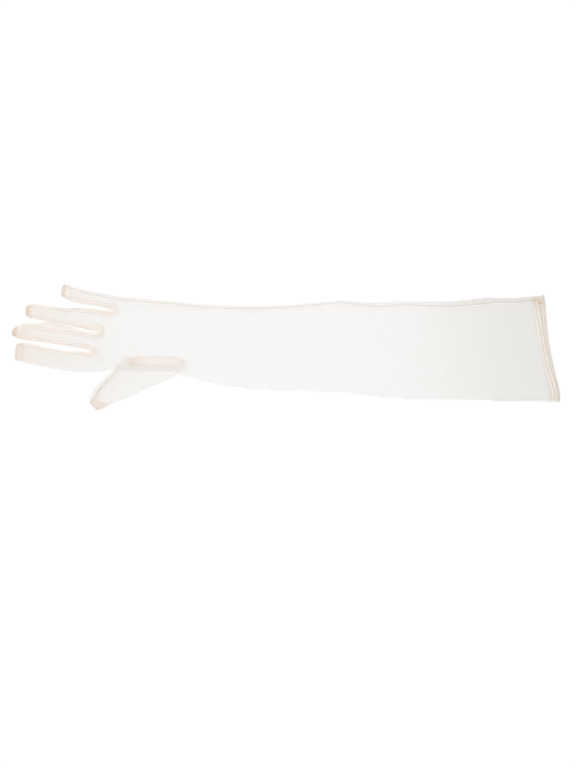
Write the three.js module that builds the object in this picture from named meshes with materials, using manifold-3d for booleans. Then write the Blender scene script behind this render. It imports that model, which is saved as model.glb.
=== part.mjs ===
import * as THREE from 'three';
import { mergeVertices } from 'three/addons/utils/BufferGeometryUtils.js';
import Module from 'manifold-3d';

// A sheer net opera glove for the left hand, lying flat with its palm up.
// Fingers point to -X, the cuff to +X, the little finger and side seam to +Y, the thumb to -Y.
// Millimetres, with the surface it lies on at z = 0.

const clothWall = 1.0;
const hemWall = 1.5;
const gap = 0.3;              // between neighbouring pieces
const fourchetteBand = 4.5;   // how far a fourchette wraps onto the palm and the back of a finger
const fingertipSeam = 7;      // length of the gathered cloth at the end of a finger
const fingertipHalf = 11.6;   // half the width that the gathered cloth may take
const tipClear = 2;           // how far the mouth of a finger gap stays from the two fingertips
const finHeight = 1.8;        // two plies of seam allowance pressed flat
const finTuck = 1.5;          // how far an allowance reaches in under the side of its tube
const hemStart = 268.5;       // where the turned-up hem begins
const hemRise = 0.4;          // extra height of the doubled hem
const littleAllowance = 2.2;  // seam allowance along the little finger
const thumbAllowance = 5.2;   // seam allowance along the thumb

// The thumb hole: a long oval in the palm beside the fold.
const oval = { x: -126.3, y: -24.4, halfLength: 29.2, halfWidth: 6.6, turn: -0.04 };
const palmTop = 5.4;
const ringWidth = 2;
const ringBottom = 4.2;
const ringTop = 5.8;

// Shape of a flattened section.
const waistShare = 0.4;       // height of the widest level, as a share of the whole height
const footShare = 0.5;        // how far the underside rounds up, as a share of the height
const roundLimit = 0.42;      // no rounding takes more than this share of the width
const footArcs = 2;
const shoulderArcs = 3;
const crotchArcs = 6;
const ovalPoints = 28;

// Hand and arm, from the knuckles to the cuff. The fold is the edge with no seam; line and edge
// are the stitches of the side seam and the outer rim of its allowance.
const sleeveTable = [
  { foldX: -189.0, fold: -33.6, seamX: -174.5, line: 58.8, edge: 61.1, height: 4.5, shoulder: 3 },
  { foldX: -168.0, fold: -31.8, seamX: -163.0, line: 56.4, edge: 58.8, height: 5.2, shoulder: 3 },
  { foldX: -146.0, fold: -34.0, seamX: -143.5, line: 53.9, edge: 56.4, height: 5.4, shoulder: 3 },
  { foldX: -118.5, fold: -36.4, seamX: -118.5, line: 51.6, edge: 54.7, height: 5.4, shoulder: 3 },
  { foldX: -97.5, fold: -39.4, seamX: -97.5, line: 48.9, edge: 52.2, height: 5.4, shoulder: 3 },
  { foldX: -68.5, fold: -47.0, seamX: -68.5, line: 45.9, edge: 48.7, height: 6.4, shoulder: 8 },
  { foldX: -38.5, fold: -52.0, seamX: -38.5, line: 44.7, edge: 47.3, height: 7.2, shoulder: 12 },
  { foldX: 1.5, fold: -54.8, seamX: 1.5, line: 45.8, edge: 48.1, height: 7.6, shoulder: 14 },
  { foldX: 36.5, fold: -55.8, seamX: 36.5, line: 49.2, edge: 51.6, height: 7.6, shoulder: 14 },
  { foldX: 66.5, fold: -57.4, seamX: 66.5, line: 52.4, edge: 55.6, height: 7.6, shoulder: 14 },
  { foldX: 96.5, fold: -61.2, seamX: 96.5, line: 49.5, edge: 53.6, height: 7.6, shoulder: 14 },
  { foldX: 126.5, fold: -64.0, seamX: 126.5, line: 49.6, edge: 54.2, height: 7.7, shoulder: 14 },
  { foldX: 166.5, fold: -65.1, seamX: 166.5, line: 48.9, edge: 55.1, height: 8.0, shoulder: 15 },
  { foldX: 206.5, fold: -65.9, seamX: 206.5, line: 50.8, edge: 58.2, height: 8.4, shoulder: 16 },
  { foldX: 241.5, fold: -66.5, seamX: 241.5, line: 53.8, edge: 59.6, height: 8.8, shoulder: 17 },
  { foldX: 277.0, fold: -67.4, seamX: 280.8, line: 57.2, edge: 62.7, height: 9.4, shoulder: 18 },
];

// Fingers, from the tip to a root inside the hand. Low is the edge toward the thumb.
const fingerTables = {
  index: [
    { x: -274.3, low: -13.5, high: -2.0, height: 2.8 },
    { x: -271.5, low: -18.6, high: 1.0, height: 3.4 },
    { x: -262.0, low: -22.6, high: 0.2, height: 4.0 },
    { x: -245.0, low: -27.0, high: -3.8, height: 4.2 },
    { x: -224.0, low: -30.9, high: -8.3, height: 4.2 },
    { x: -204.0, low: -34.0, high: -10.8, height: 4.3 },
    { x: -193.5, low: -34.0, high: -8.6, height: 4.5 },
    { x: -186.0, low: -33.2, high: -4.5, height: 4.5 },
    { x: -170.0, low: -31.6, high: -2.0, height: 4.5 },
  ],
  middle: [
    { x: -280.8, low: 10.4, high: 18.2, height: 2.8 },
    { x: -277.6, low: 7.6, high: 21.6, height: 3.4 },
    { x: -270.0, low: 4.8, high: 25.2, height: 4.0 },
    { x: -244.0, low: 1.4, high: 24.2, height: 4.2 },
    { x: -222.0, low: -3.0, high: 21.6, height: 4.2 },
    { x: -200.0, low: -6.9, high: 18.5, height: 4.3 },
    { x: -193.0, low: -9.2, high: 17.6, height: 4.5 },
    { x: -186.0, low: -13.0, high: 21.5, height: 4.5 },
    { x: -170.0, low: -15.0, high: 23.0, height: 4.5 },
  ],
  ring: [
    { x: -271.9, low: 37.6, high: 46.4, height: 2.8 },
    { x: -268.0, low: 33.8, high: 49.4, height: 3.4 },
    { x: -259.0, low: 30.6, high: 50.4, height: 4.0 },
    { x: -242.5, low: 27.1, high: 48.9, height: 4.2 },
    { x: -220.0, low: 23.6, high: 46.2, height: 4.2 },
    { x: -198.0, low: 20.2, high: 43.4, height: 4.3 },
    { x: -190.5, low: 17.0, high: 42.4, height: 4.5 },
    { x: -183.0, low: 13.5, high: 41.4, height: 4.5 },
    { x: -167.0, low: 12.0, high: 46.0, height: 4.5 },
  ],
  little: [
    { x: -237.3, low: 63.6, high: 73.6, height: 2.8 },
    { x: -234.6, low: 59.6, high: 78.1, height: 3.4 },
    { x: -228.0, low: 55.6, high: 73.6, height: 3.9 },
    { x: -214.0, low: 50.4, high: 67.9, height: 4.1 },
    { x: -198.0, low: 47.0, high: 64.1, height: 4.2 },
    { x: -185.5, low: 43.6, high: 61.5, height: 4.4 },
    { x: -179.5, low: 39.6, high: 60.2, height: 4.5 },
    { x: -163.0, low: 34.0, high: 56.2, height: 4.5 },
  ],
};
const fingerShoulder = 3;

// Where two fingers part, and the names of the strips between them.
const crotches = [
  { name: 'fourchette_index_middle', lower: 'index', upper: 'middle', x: -193.8, y: -8.9 },
  { name: 'fourchette_middle_ring', lower: 'middle', upper: 'ring', x: -191.6, y: 17.4 },
  { name: 'fourchette_ring_little', lower: 'ring', upper: 'little', x: -180.6, y: 41.0 },
];

// Thumb, from its far side over the oval to its tip. It lies on the palm, then falls to the floor.
const thumbTable = [
  { seamX: -150.0, seam: -18.8, foldX: -105.0, fold: -20.0, base: 6.1, height: 2.8 },
  { seamX: -154.0, seam: -22.4, foldX: -99.4, fold: -24.0, base: 6.1, height: 3.6 },
  { seamX: -157.0, seam: -26.4, foldX: -97.4, fold: -29.4, base: 6.1, height: 3.8 },
  { seamX: -161.5, seam: -30.6, foldX: -101.0, fold: -35.0, base: 5.9, height: 3.8 },
  { seamX: -166.5, seam: -36.0, foldX: -111.0, fold: -40.6, base: 3.8, height: 3.9 },
  { seamX: -171.5, seam: -42.0, foldX: -122.5, fold: -46.0, base: 1.4, height: 4.1 },
  { seamX: -176.5, seam: -48.4, foldX: -134.5, fold: -52.6, base: 0.2, height: 4.2 },
  { seamX: -180.3, seam: -55.4, foldX: -148.0, fold: -60.0, base: 0, height: 4.2 },
  { seamX: -182.8, seam: -62.0, foldX: -163.0, fold: -68.0, base: 0, height: 4.0 },
  { seamX: -184.6, seam: -67.6, foldX: -173.0, fold: -73.4, base: 0, height: 3.8 },
  { seamX: -185.6, seam: -71.6, foldX: -178.5, fold: -76.2, base: 0, height: 3.4 },
  { seamX: -185.2, seam: -75.0, foldX: -181.4, fold: -78.1, base: 0, height: 2.8 },
];
const thumbShoulder = 3;

const finishes = {
  net: { color: '#f3eee8', roughness: 0.9, metalness: 0 },
  fourchette: { color: '#efdccc', roughness: 0.9, metalness: 0 },
  seam: { color: '#e6cfba', roughness: 0.85, metalness: 0 },
  gather: { color: '#e2c0a2', roughness: 0.85, metalness: 0 },
  hem: { color: '#ead8c6', roughness: 0.85, metalness: 0 },
};

const wasm = await Module();
wasm.setup();

// Closed geometry to a solid, and back to a mesh with its own material.
function solidFrom(geometry) {
  geometry.deleteAttribute('normal');
  geometry.deleteAttribute('uv');
  const merged = mergeVertices(geometry);
  return new wasm.Manifold(new wasm.Mesh({
    numProp: 3,
    vertProperties: new Float32Array(merged.attributes.position.array),
    triVerts: new Uint32Array(merged.index.array),
  }));
}

function meshFrom(name, solid, finish) {
  const raw = solid.getMesh();
  const geometry = new THREE.BufferGeometry();
  geometry.setAttribute('position', new THREE.BufferAttribute(raw.vertProperties, 3));
  geometry.setIndex(new THREE.BufferAttribute(raw.triVerts, 1));
  geometry.computeVertexNormals();
  const mesh = new THREE.Mesh(geometry, new THREE.MeshStandardMaterial(finish));
  mesh.name = name;
  return mesh;
}

// One flattened section from side a to side b. Grow moves its whole rim outward.
function sectionRing({ a, b, base, height, shoulder }, grow) {
  const across = b.clone().sub(a);
  const width = across.length();
  across.normalize();
  const waist = waistShare * height;
  const foot = Math.min(footShare * height, roundLimit * width);
  const top = Math.min(shoulder, roundLimit * width);
  const half = [];
  for (let i = 0; i <= footArcs; i++) {
    const angle = (Math.PI / 2) * (i / footArcs);
    half.push([foot - (foot + grow) * Math.sin(angle), waist - (waist + grow) * Math.cos(angle)]);
  }
  for (let i = 1; i <= shoulderArcs; i++) {
    const angle = (Math.PI / 2) * (i / shoulderArcs);
    const rise = height - waist + grow;
    half.push([top - (top + grow) * Math.cos(angle), waist + rise * Math.sin(angle)]);
  }
  const mirrored = half.map(([u, z]) => [width - u, z]).reverse();
  return [...half, ...mirrored].map(([u, z]) => (
    new THREE.Vector3(a.x + across.x * u, a.y + across.y * u, base + z)
  ));
}

// Smooth rows between the rows of a table.
function smoothRows(rows, steps) {
  const sideA = new THREE.CatmullRomCurve3(rows.map((row) => row.a));
  const sideB = new THREE.CatmullRomCurve3(rows.map((row) => row.b));
  const shape = new THREE.CatmullRomCurve3(
    rows.map((row) => new THREE.Vector3(row.base, row.height, row.shoulder)),
  );
  const count = (rows.length - 1) * steps;
  return Array.from({ length: count + 1 }, (_, i) => {
    const a = sideA.getPoint(i / count);
    const b = sideB.getPoint(i / count);
    const { x: base, y: height, z: shoulder } = shape.getPoint(i / count);
    return { a, b, base: Math.max(base, 0), height, shoulder };
  });
}

// A flattened closed tube through its rows. Grow also moves its two ends outward.
function tube(rows, grow, steps = 2) {
  const path = smoothRows(rows, steps);
  const rings = path.map((row) => sectionRing(row, grow));
  const middles = path.map(({ a, b }) => a.clone().lerp(b, 0.5));
  for (const [end, next] of [[0, 1], [path.length - 1, path.length - 2]]) {
    const outward = middles[end].clone().sub(middles[next]).setLength(1);
    rings[end].forEach((point) => point.addScaledVector(outward, grow));
  }
  const size = rings[0].length;
  const points = rings.flat();
  const index = [];
  for (let r = 0; r < rings.length - 1; r++) {
    for (let k = 0; k < size; k++) {
      const next = (k + 1) % size;
      const here = r * size;
      const there = here + size;
      index.push(here + k, there + k, there + next, here + k, there + next, here + next);
    }
  }
  const lastRing = (rings.length - 1) * size;
  for (let k = 1; k < size - 1; k++) {
    index.push(0, k, k + 1, lastRing, lastRing + k + 1, lastRing + k);
  }
  const geometry = new THREE.BufferGeometry().setFromPoints(points);
  geometry.setIndex(index);
  return solidFrom(geometry);
}

// An upright block on a plan outline.
function prism(outline, bottom, top) {
  const geometry = new THREE.ExtrudeGeometry(new THREE.Shape(outline), {
    depth: top - bottom,
    bevelEnabled: false,
    curveSegments: 1,
  });
  geometry.translate(0, 0, bottom);
  return solidFrom(geometry);
}

const plan = (x, y) => new THREE.Vector3(x, y, 0);
const flat = ({ x, y }) => new THREE.Vector2(x, y);

// Heights and distances that lie past every piece, for the blocks that cut them.
const belowAll = -5;
const aboveAll = 20;
const pastAll = 300;
const pastMouth = 10;

const sleeveRows = sleeveTable.map((row) => ({
  a: plan(row.foldX, row.fold),
  b: plan(row.seamX, row.line),
  base: 0,
  height: row.height,
  shoulder: row.shoulder,
}));

const fingerRows = {};
for (const [finger, table] of Object.entries(fingerTables)) {
  fingerRows[finger] = table.map(({ x, low, high, height }) => (
    { a: plan(x, low), b: plan(x, high), base: 0, height, shoulder: fingerShoulder }
  ));
}

const thumbRows = thumbTable.map((row) => ({
  a: plan(row.seamX, row.seam),
  b: plan(row.foldX, row.fold),
  base: row.base,
  height: row.height,
  shoulder: thumbShoulder,
}));

// Hand and fingers as one form, grown or shrunk by the same amount all round.
function handForm(grow) {
  let form = tube(sleeveRows, grow);
  for (const rows of Object.values(fingerRows)) form = form.add(tube(rows, grow));
  return form;
}

// Plan outline of the space between two fingers, widened onto both by a margin. It starts just
// inside the fingertips, where both fingers have their full width.
function fingerGap({ lower, upper, x, y }, margin) {
  const side = (rows, end) => (
    smoothRows(rows, 2).slice(2).map((row) => row[end]).filter((point) => point.x < x)
  );
  const lowerSide = side(fingerRows[lower], 'b');
  const upperSide = side(fingerRows[upper], 'a');
  const arc = Array.from({ length: crotchArcs + 1 }, (_, i) => {
    const angle = -Math.PI / 2 + (Math.PI * i) / crotchArcs;
    return new THREE.Vector2(x + margin * Math.cos(angle), y + margin * Math.sin(angle));
  });
  const lowerTip = lowerSide[0];
  const upperTip = upperSide[0];
  return [
    ...lowerSide.map((point) => new THREE.Vector2(point.x, point.y - margin)),
    ...arc,
    ...upperSide.map((point) => new THREE.Vector2(point.x, point.y + margin)).reverse(),
    new THREE.Vector2(upperTip.x, upperTip.y - tipClear),
    new THREE.Vector2(lowerTip.x, lowerTip.y + tipClear),
  ];
}

// The end of a finger, cut off square to the way it points.
function tipBlock(rows, grow) {
  const middle = ({ a, b }) => a.clone().lerp(b, 0.5);
  const tip = middle(rows[0]);
  const along = middle(rows[3]).sub(tip).normalize();
  const side = plan(-along.y, along.x).multiplyScalar(fingertipHalf);
  const near = tip.clone().addScaledVector(along, -fingertipHalf);
  const far = tip.clone().addScaledVector(along, fingertipSeam + grow);
  const corners = [
    near.clone().sub(side), far.clone().sub(side), far.clone().add(side), near.clone().add(side),
  ];
  return prism(corners.map(flat), belowAll, aboveAll);
}

function ovalOutline(grow) {
  const curve = new THREE.EllipseCurve(
    oval.x, oval.y, oval.halfLength + grow, oval.halfWidth + grow, 0, 2 * Math.PI, false, oval.turn,
  );
  return curve.getPoints(ovalPoints).slice(0, -1);
}

const hand = handForm(0);
const handHollow = handForm(-clothWall);
const handClearance = handForm(gap);
const handShell = hand.subtract(handHollow);

const tipRows = { ...fingerRows, thumb: [...thumbRows].reverse() };
const tipClearances = {};
for (const [finger, rows] of Object.entries(tipRows)) tipClearances[finger] = tipBlock(rows, gap);

function cutTips(solid) {
  return Object.values(tipClearances).reduce((rest, block) => rest.subtract(block), solid);
}

const hemSpace = prism([
  new THREE.Vector2(hemStart - gap, -pastAll),
  new THREE.Vector2(pastAll, -pastAll),
  new THREE.Vector2(pastAll, pastAll),
  new THREE.Vector2(hemStart - gap, pastAll),
], belowAll, aboveAll);

function makeTrank() {
  let solid = cutTips(handShell).subtract(hemSpace);
  for (const crotch of crotches) {
    solid = solid.subtract(prism(fingerGap(crotch, fourchetteBand + gap), belowAll, aboveAll));
  }
  return solid.subtract(prism(ovalOutline(gap), palmTop / 2, aboveAll));
}

function makeFourchette(crotch) {
  const band = prism(fingerGap(crotch, fourchetteBand), belowAll, aboveAll);
  return cutTips(handShell.intersect(band));
}

function makeCuffHem() {
  const mouth = sleeveTable.at(-1);
  const lead = sleeveTable.at(-2);
  const share = (hemStart - lead.foldX) / (mouth.foldX - lead.foldX);
  const mix = (key) => THREE.MathUtils.lerp(lead[key], mouth[key], share);
  const row = (shift, source) => ({
    a: plan(source.foldX + shift, source.fold),
    b: plan(source.seamX + shift, source.edge),
    base: 0,
    height: source.height + hemRise,
    shoulder: source.shoulder,
  });
  const start = {
    foldX: hemStart, seamX: hemStart, fold: mix('fold'), edge: mix('edge'),
    height: mix('height'), shoulder: mix('shoulder'),
  };
  const hem = [row(0, start), row(0, mouth)];
  const through = [row(-pastMouth, start), ...hem, row(pastMouth, mouth)];
  return tube(hem, 0).subtract(tube(through, -hemWall, 1));
}

function makeSideSeam() {
  const alongLittle = fingerTables.little.slice(2, -2).map(({ x, high }) => ({
    a: plan(x, high - finTuck), b: plan(x, high + littleAllowance),
  }));
  const alongArm = sleeveTable.map(({ seamX, line, edge }) => ({
    a: plan(seamX, line - finTuck), b: plan(seamX, edge),
  }));
  const rows = [...alongLittle, ...alongArm].map((row) => (
    { ...row, base: 0, height: finHeight, shoulder: finHeight / 2 }
  ));
  return cutTips(tube(rows, 0).subtract(handClearance)).subtract(hemSpace);
}

function makeThumbRing() {
  const outer = prism(ovalOutline(0), ringBottom, ringTop);
  return outer.subtract(prism(ovalOutline(-ringWidth), belowAll, aboveAll));
}

function makeThumb() {
  const passage = prism(ovalOutline(-ringWidth), belowAll, ringTop + 2 * clothWall);
  const shell = tube(thumbRows, 0).subtract(tube(thumbRows, -clothWall)).subtract(passage);
  return shell.subtract(handClearance).subtract(tipClearances.thumb);
}

function makeThumbSeam() {
  const rows = thumbRows.slice(2, -1).map(({ a, b, base }) => {
    const outward = a.clone().sub(b).normalize();
    return {
      a: a.clone().addScaledVector(outward, thumbAllowance),
      b: a.clone().addScaledVector(outward, -finTuck),
      base,
      height: finHeight,
      shoulder: finHeight / 2,
    };
  });
  const clearance = tube(thumbRows, gap).add(handClearance);
  return tube(rows, 0).subtract(clearance).subtract(tipClearances.thumb);
}

const glove = new THREE.Group();
glove.add(meshFrom('trank', makeTrank(), finishes.net));
glove.add(meshFrom('thumb_piece', makeThumb(), finishes.net));
for (const crotch of crotches) {
  glove.add(meshFrom(crotch.name, makeFourchette(crotch), finishes.fourchette));
}
glove.add(meshFrom('side_seam', makeSideSeam(), finishes.seam));
glove.add(meshFrom('thumb_ring_seam', makeThumbRing(), finishes.seam));
glove.add(meshFrom('thumb_side_seam', makeThumbSeam(), finishes.seam));
glove.add(meshFrom('cuff_hem', makeCuffHem(), finishes.hem));
for (const [finger, rows] of Object.entries(tipRows)) {
  const whole = finger === 'thumb' ? tube(thumbRows, 0) : tube(rows, 0);
  const tip = whole.intersect(tipBlock(rows, 0));
  glove.add(meshFrom(`${finger}_tip_seam`, tip, finishes.gather));
}

export default glove;
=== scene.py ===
import math

import bpy
import numpy as np
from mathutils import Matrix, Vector
from mathutils.kdtree import KDTree


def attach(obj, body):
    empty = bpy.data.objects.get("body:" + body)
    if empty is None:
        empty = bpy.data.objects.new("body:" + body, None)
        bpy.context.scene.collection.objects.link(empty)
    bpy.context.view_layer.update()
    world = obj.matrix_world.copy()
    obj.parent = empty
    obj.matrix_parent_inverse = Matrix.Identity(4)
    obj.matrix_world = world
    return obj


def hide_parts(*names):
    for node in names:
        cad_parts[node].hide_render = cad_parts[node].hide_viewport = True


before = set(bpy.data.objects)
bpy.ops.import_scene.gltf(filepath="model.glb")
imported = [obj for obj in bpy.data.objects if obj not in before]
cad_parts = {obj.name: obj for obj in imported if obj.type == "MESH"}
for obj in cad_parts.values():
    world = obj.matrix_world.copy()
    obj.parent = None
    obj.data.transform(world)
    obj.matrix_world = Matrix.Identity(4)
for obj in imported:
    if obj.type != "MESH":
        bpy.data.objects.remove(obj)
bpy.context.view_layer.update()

# A sheer net opera glove lying flat with its palm up. Fingers point to -X, the cuff to +X,
# the side seam and little finger to +Y, the thumb to -Y. The tables are in millimetres.
millimetre = 0.001


# camera, floor and light
studio = {
    "eye": (0.0065, -0.44885, 0.69533),
    "elevation": 60,
    "lens": 37.5,
    "floorSide": 8.0,
    "floorColor": (0.86, 0.86, 0.86),
    "world": 0.838,
    "lampPlace": (-0.6, 0.7, 6.7),
    "lampSide": 3.4,
    "lampPower": 179,
    "transparentBounces": 64,
}


def setMode(mode):
    bpy.ops.object.mode_set(mode=mode)


def deselectAll():
    if bpy.context.object and bpy.context.object.mode != "OBJECT":
        setMode("OBJECT")
    bpy.ops.object.select_all(action="DESELECT")


def makeActive(piece):
    deselectAll()
    piece.select_set(True)
    bpy.context.view_layer.objects.active = piece


def setStudio():
    scene = bpy.context.scene
    deselectAll()
    bpy.ops.object.camera_add(
        location=studio["eye"], rotation=(math.radians(90 - studio["elevation"]), 0, 0)
    )
    camera = bpy.context.object
    camera.data.lens = studio["lens"]
    camera.data.sensor_width = 36
    camera.data.clip_start = 0.01
    scene.camera = camera

    deselectAll()
    bpy.ops.mesh.primitive_plane_add(size=studio["floorSide"])
    floor = bpy.context.object
    floor.name = "floor"
    paper = bpy.data.materials.new("paleFloor")
    paper.use_nodes = True
    surface = paper.node_tree.nodes["Principled BSDF"]
    surface.inputs["Base Color"].default_value = (*studio["floorColor"], 1)
    surface.inputs["Roughness"].default_value = 0.95
    surface.inputs["Specular IOR Level"].default_value = 0.1
    floor.data.materials.append(paper)

    deselectAll()
    bpy.ops.object.light_add(type="AREA", location=studio["lampPlace"])
    lamp = bpy.context.object
    lamp.data.energy = studio["lampPower"]
    lamp.data.size = studio["lampSide"]
    aim = Vector((0, 0, 0)) - lamp.location
    lamp.rotation_euler = aim.to_track_quat("-Z", "Y").to_euler()

    sky = bpy.data.worlds.new("softRoom")
    sky.use_nodes = True
    backdrop = sky.node_tree.nodes["Background"]
    backdrop.inputs["Color"].default_value = (1, 1, 1, 1)
    backdrop.inputs["Strength"].default_value = studio["world"]
    scene.world = sky
    scene.view_settings.view_transform = "Standard"
    scene.cycles.transparent_max_bounces = studio["transparentBounces"]


setStudio()
print("camera, floor and light are set")


# lines of the glove
armLines = {
    "fold": [
        (-189, -35.2), (-168, -33.2), (-146, -34.3), (-134, -34), (-122, -34.2),
        (-112, -34.8), (-108, -36), (-102.8, -38.2), (-97.5, -39.8), (-86, -42.9), (-68.5, -48.4),
        (-38.5, -53.6), (1.5, -56.6), (36.5, -58), (66.5, -59.4),
        (84, -62), (102, -64.4), (126.5, -66), (166.5, -67), (206.5, -67.7),
        (241.5, -68.6), (277, -68.7),
    ],
    "seam": [
        (-174.5, 56.2), (-163, 54.9), (-143.5, 52.5), (-118.5, 50.7), (-97.5, 47.4),
        (-68.5, 45), (-38.5, 44.1), (1.5, 45.5), (36.5, 49.3), (66.5, 51.6), (80, 49.6),
        (96.5, 47.2), (110, 47.1), (126.5, 49), (146, 48.2), (166.5, 47.7), (189, 47.9),
        (206.5, 49.9), (221, 52), (241.5, 52.7), (262, 54), (280.8, 57.2),
    ],
    "heightX": [-281, -262, -189, -168, -146, -97.5, -68.5, -38.5, 1.5, 126.5, 166.5, 206.5, 241.5, 281],
    "height": [3.9, 4.1, 4.4, 4.9, 5.1, 5.1, 6.1, 6.9, 7.3, 7.4, 7.6, 7.8, 7.6, 6.6],
    "shoulderX": [-189, -97.5, -68.5, -38.5, 1.5, 126.5, 281],
    "shoulder": [3, 3.4, 8, 12, 14, 14, 18],
}

fingerLines = {
    "index": {
        "low": [(-273.2, -13.5), (-270.9, -19), (-262, -23.6), (-252, -26.5), (-243, -28.5),
                (-224, -31.8), (-204, -35.2)],
        "high": [(-275.2, -3.6), (-271.9, 0.2), (-262, 0.6), (-252, -1.6), (-243, -4.8),
                 (-224, -9), (-217, -10), (-209, -9.6), (-203, -10.4)],
    },
    "middle": {
        "low": [(-280.8, 11.4), (-277.6, 9.2), (-270, 5.9), (-260, 4), (-244, 1.7),
                (-231, -0.5), (-218, -3), (-202, -6.6)],
        "high": [(-280.8, 17.8), (-277.6, 20.8), (-270, 24.8), (-246, 24.4), (-234, 22),
                 (-219, 18.6), (-210, 16), (-202, 13.8)],
    },
    "ring": {
        "low": [(-270.9, 37.6), (-267.6, 34.2), (-259, 31.2), (-242.5, 27.1), (-230, 24.4),
                (-219, 22), (-210, 19.8), (-202, 17)],
        "high": [(-272.9, 45.6), (-268.6, 48.6), (-259, 48.9), (-250, 47), (-243.5, 46.2),
                 (-235, 44.6), (-226, 43.3), (-218, 43.4), (-208, 43.6), (-198, 43.5),
                 (-190, 41.9)],
    },
    "little": {
        "low": [(-237.3, 64.8), (-234.8, 60.5), (-228, 55.9), (-221.5, 53), (-214, 50.8),
                (-201, 48.7), (-193, 47.2), (-186, 44.9)],
        "high": [(-237.3, 71.6), (-234.8, 75.8), (-228, 71.2), (-221.5, 69.2), (-214, 65.9),
                 (-198, 61.4), (-185.5, 58.3)],
    },
}

gapLines = {
    # the bands give how far the seam line runs from the edge of the gap, by X, on either finger;
    # the spill is cloth of the strip that lies out in the gap
    "index_middle": {
        "lower": "index", "upper": "middle", "crotch": (-195, -10), "crotchBand": 4.9, "radius": 1.1,
        "lowerBand": [(-266, 4.6), (-258, 5.2), (-249, 4.2), (-238, 3.4), (-215, 2.7), (-198, 3.4)],
        "upperBand": [(-266, 1.7), (-250, 2.2), (-239, 1.8), (-218, 2.4), (-205, 3), (-196, 4)],
        "spill": [(-260, 0.12), (-200, 0.12)],
    },
    "middle_ring": {
        "lower": "middle", "upper": "ring", "crotch": (-192.2, 14.6), "crotchBand": 6.8, "radius": 1.4,
        "lowerBand": [(-270, 4.6), (-259, 5.6), (-253, 6.6), (-244, 8), (-235, 7.2), (-219, 6.2),
                      (-210, 4.9), (-202, 4.2), (-194, 5.4)],
        "upperBand": [(-261, 1.8), (-252, 2.6), (-240, 2.2), (-222, 1.3), (-210, 1.4), (-202, 3.6),
                      (-194, 5.4)],
        "spill": [(-258, 0.12), (-248, 1.9), (-236, 2.1), (-222, 1.6), (-214, 1), (-207, 0.12)],
    },
    "ring_little": {
        "lower": "ring", "upper": "little", "crotch": (-179.8, 41.8), "crotchBand": 5.8, "radius": 1.5,
        "lowerBand": [(-264, 1.6), (-246, 1.8), (-236, 2), (-226, 2.2), (-218, 2.4), (-208, 3.6),
                      (-198, 4.4), (-188, 4.8)],
        "upperBand": [(-228, 2), (-214, 2.8), (-204, 2.6), (-196, 2.8), (-186, 3.6)],
        "spill": [(-237, 0.12), (-229, 1.6), (-220, 2.1), (-213, 1.3), (-206, 0.12)],
    },
}

edges = {
    "sampleStep": 1.2,
    "foldWaist": 0.16,      # height of the folded edge, as a share of the whole height
    "seamWaist": 1.1,       # the sewn edge lies lower, mm
    "gapWaist": 1.7,
    "looseness": 0.6,       # size of the soft waves
    "roundness": 0.62,      # how soon a rounded edge rises, less is sooner
    "underLift": 0.12,      # the underside rises and falls by this much, mm
    "footShare": 0.5,       # how far the underside rounds up, as a share of the height
    "floorClear": 0.3,
    "tipLength": 6.4,       # gathered cloth at the end of a finger
    "tipOverlap": 0.8,      # how far seams and strips run in under it
    "crotchTurn": 78,       # half the turn of the small arc between two fingers, degrees
    "fingerMargin": 1.2,    # how far beside a finger a point still counts as in line with it
    # X where the trank ends in the hem, by Y
    "hemStart": [(-67, 270.7), (-54, 270.8), (-39, 268.3), (-10, 266.9), (12, 266.9), (34, 266.9),
                 (41, 267.8), (48, 270), (62, 273)],
}


def byX(x, table):
    return np.interp(x, *zip(*table))


def beforeHem(points, margin=0.0):
    # which plan points lie short of the hem
    return points[:, 0] < byX(points[:, 1], edges["hemStart"]) - margin


def lengthsAlong(points):
    # the length of a line up to each of its points
    return np.concatenate([[0], np.cumsum(np.linalg.norm(np.diff(points, axis=0), axis=1))])


def evenSteps(points, step):
    lengths = lengthsAlong(points)
    count = max(2, round(lengths[-1] / step) + 1)
    wanted = np.linspace(0, lengths[-1], count)
    return np.stack([np.interp(wanted, lengths, axis) for axis in points.T], axis=1)


def smoothLine(points, step):
    # a Catmull-Rom curve through the points, then even steps along it
    points = np.asarray(points, float)
    row = np.vstack([2 * points[0] - points[1], points, 2 * points[-1] - points[-2]])
    parts = []
    for p0, p1, p2, p3 in zip(row, row[1:], row[2:], row[3:]):
        t1 = np.linalg.norm(p1 - p0) ** 0.5
        t2 = t1 + np.linalg.norm(p2 - p1) ** 0.5
        t3 = t2 + np.linalg.norm(p3 - p2) ** 0.5
        t = np.linspace(t1, t2, 24, endpoint=False)[:, None]
        a1 = (t1 - t) / t1 * p0 + t / t1 * p1
        a2 = (t2 - t) / (t2 - t1) * p1 + (t - t1) / (t2 - t1) * p2
        a3 = (t3 - t) / (t3 - t2) * p2 + (t - t2) / (t3 - t2) * p3
        b1 = (t2 - t) / t2 * a1 + t / t2 * a2
        b2 = (t3 - t) / (t3 - t1) * a2 + (t - t1) / (t3 - t1) * a3
        parts.append((t2 - t) / (t2 - t1) * b1 + (t - t1) / (t2 - t1) * b2)
    parts.append(points[-1:])
    return evenSteps(np.vstack(parts), step)


def unit(vectors):
    return vectors / np.linalg.norm(vectors, axis=1)[:, None]


def evenOut(values, rounds=6):
    # each value takes the mean of itself and its neighbours, round after round
    for _ in range(rounds):
        values[1:-1] = (values[:-2] + values[1:-1] + values[2:]) / 3


def easedSteps(count):
    # shares from 0 to 1, closer together towards both ends
    return (1 - np.cos(np.linspace(0, math.pi, count))) / 2


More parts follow.
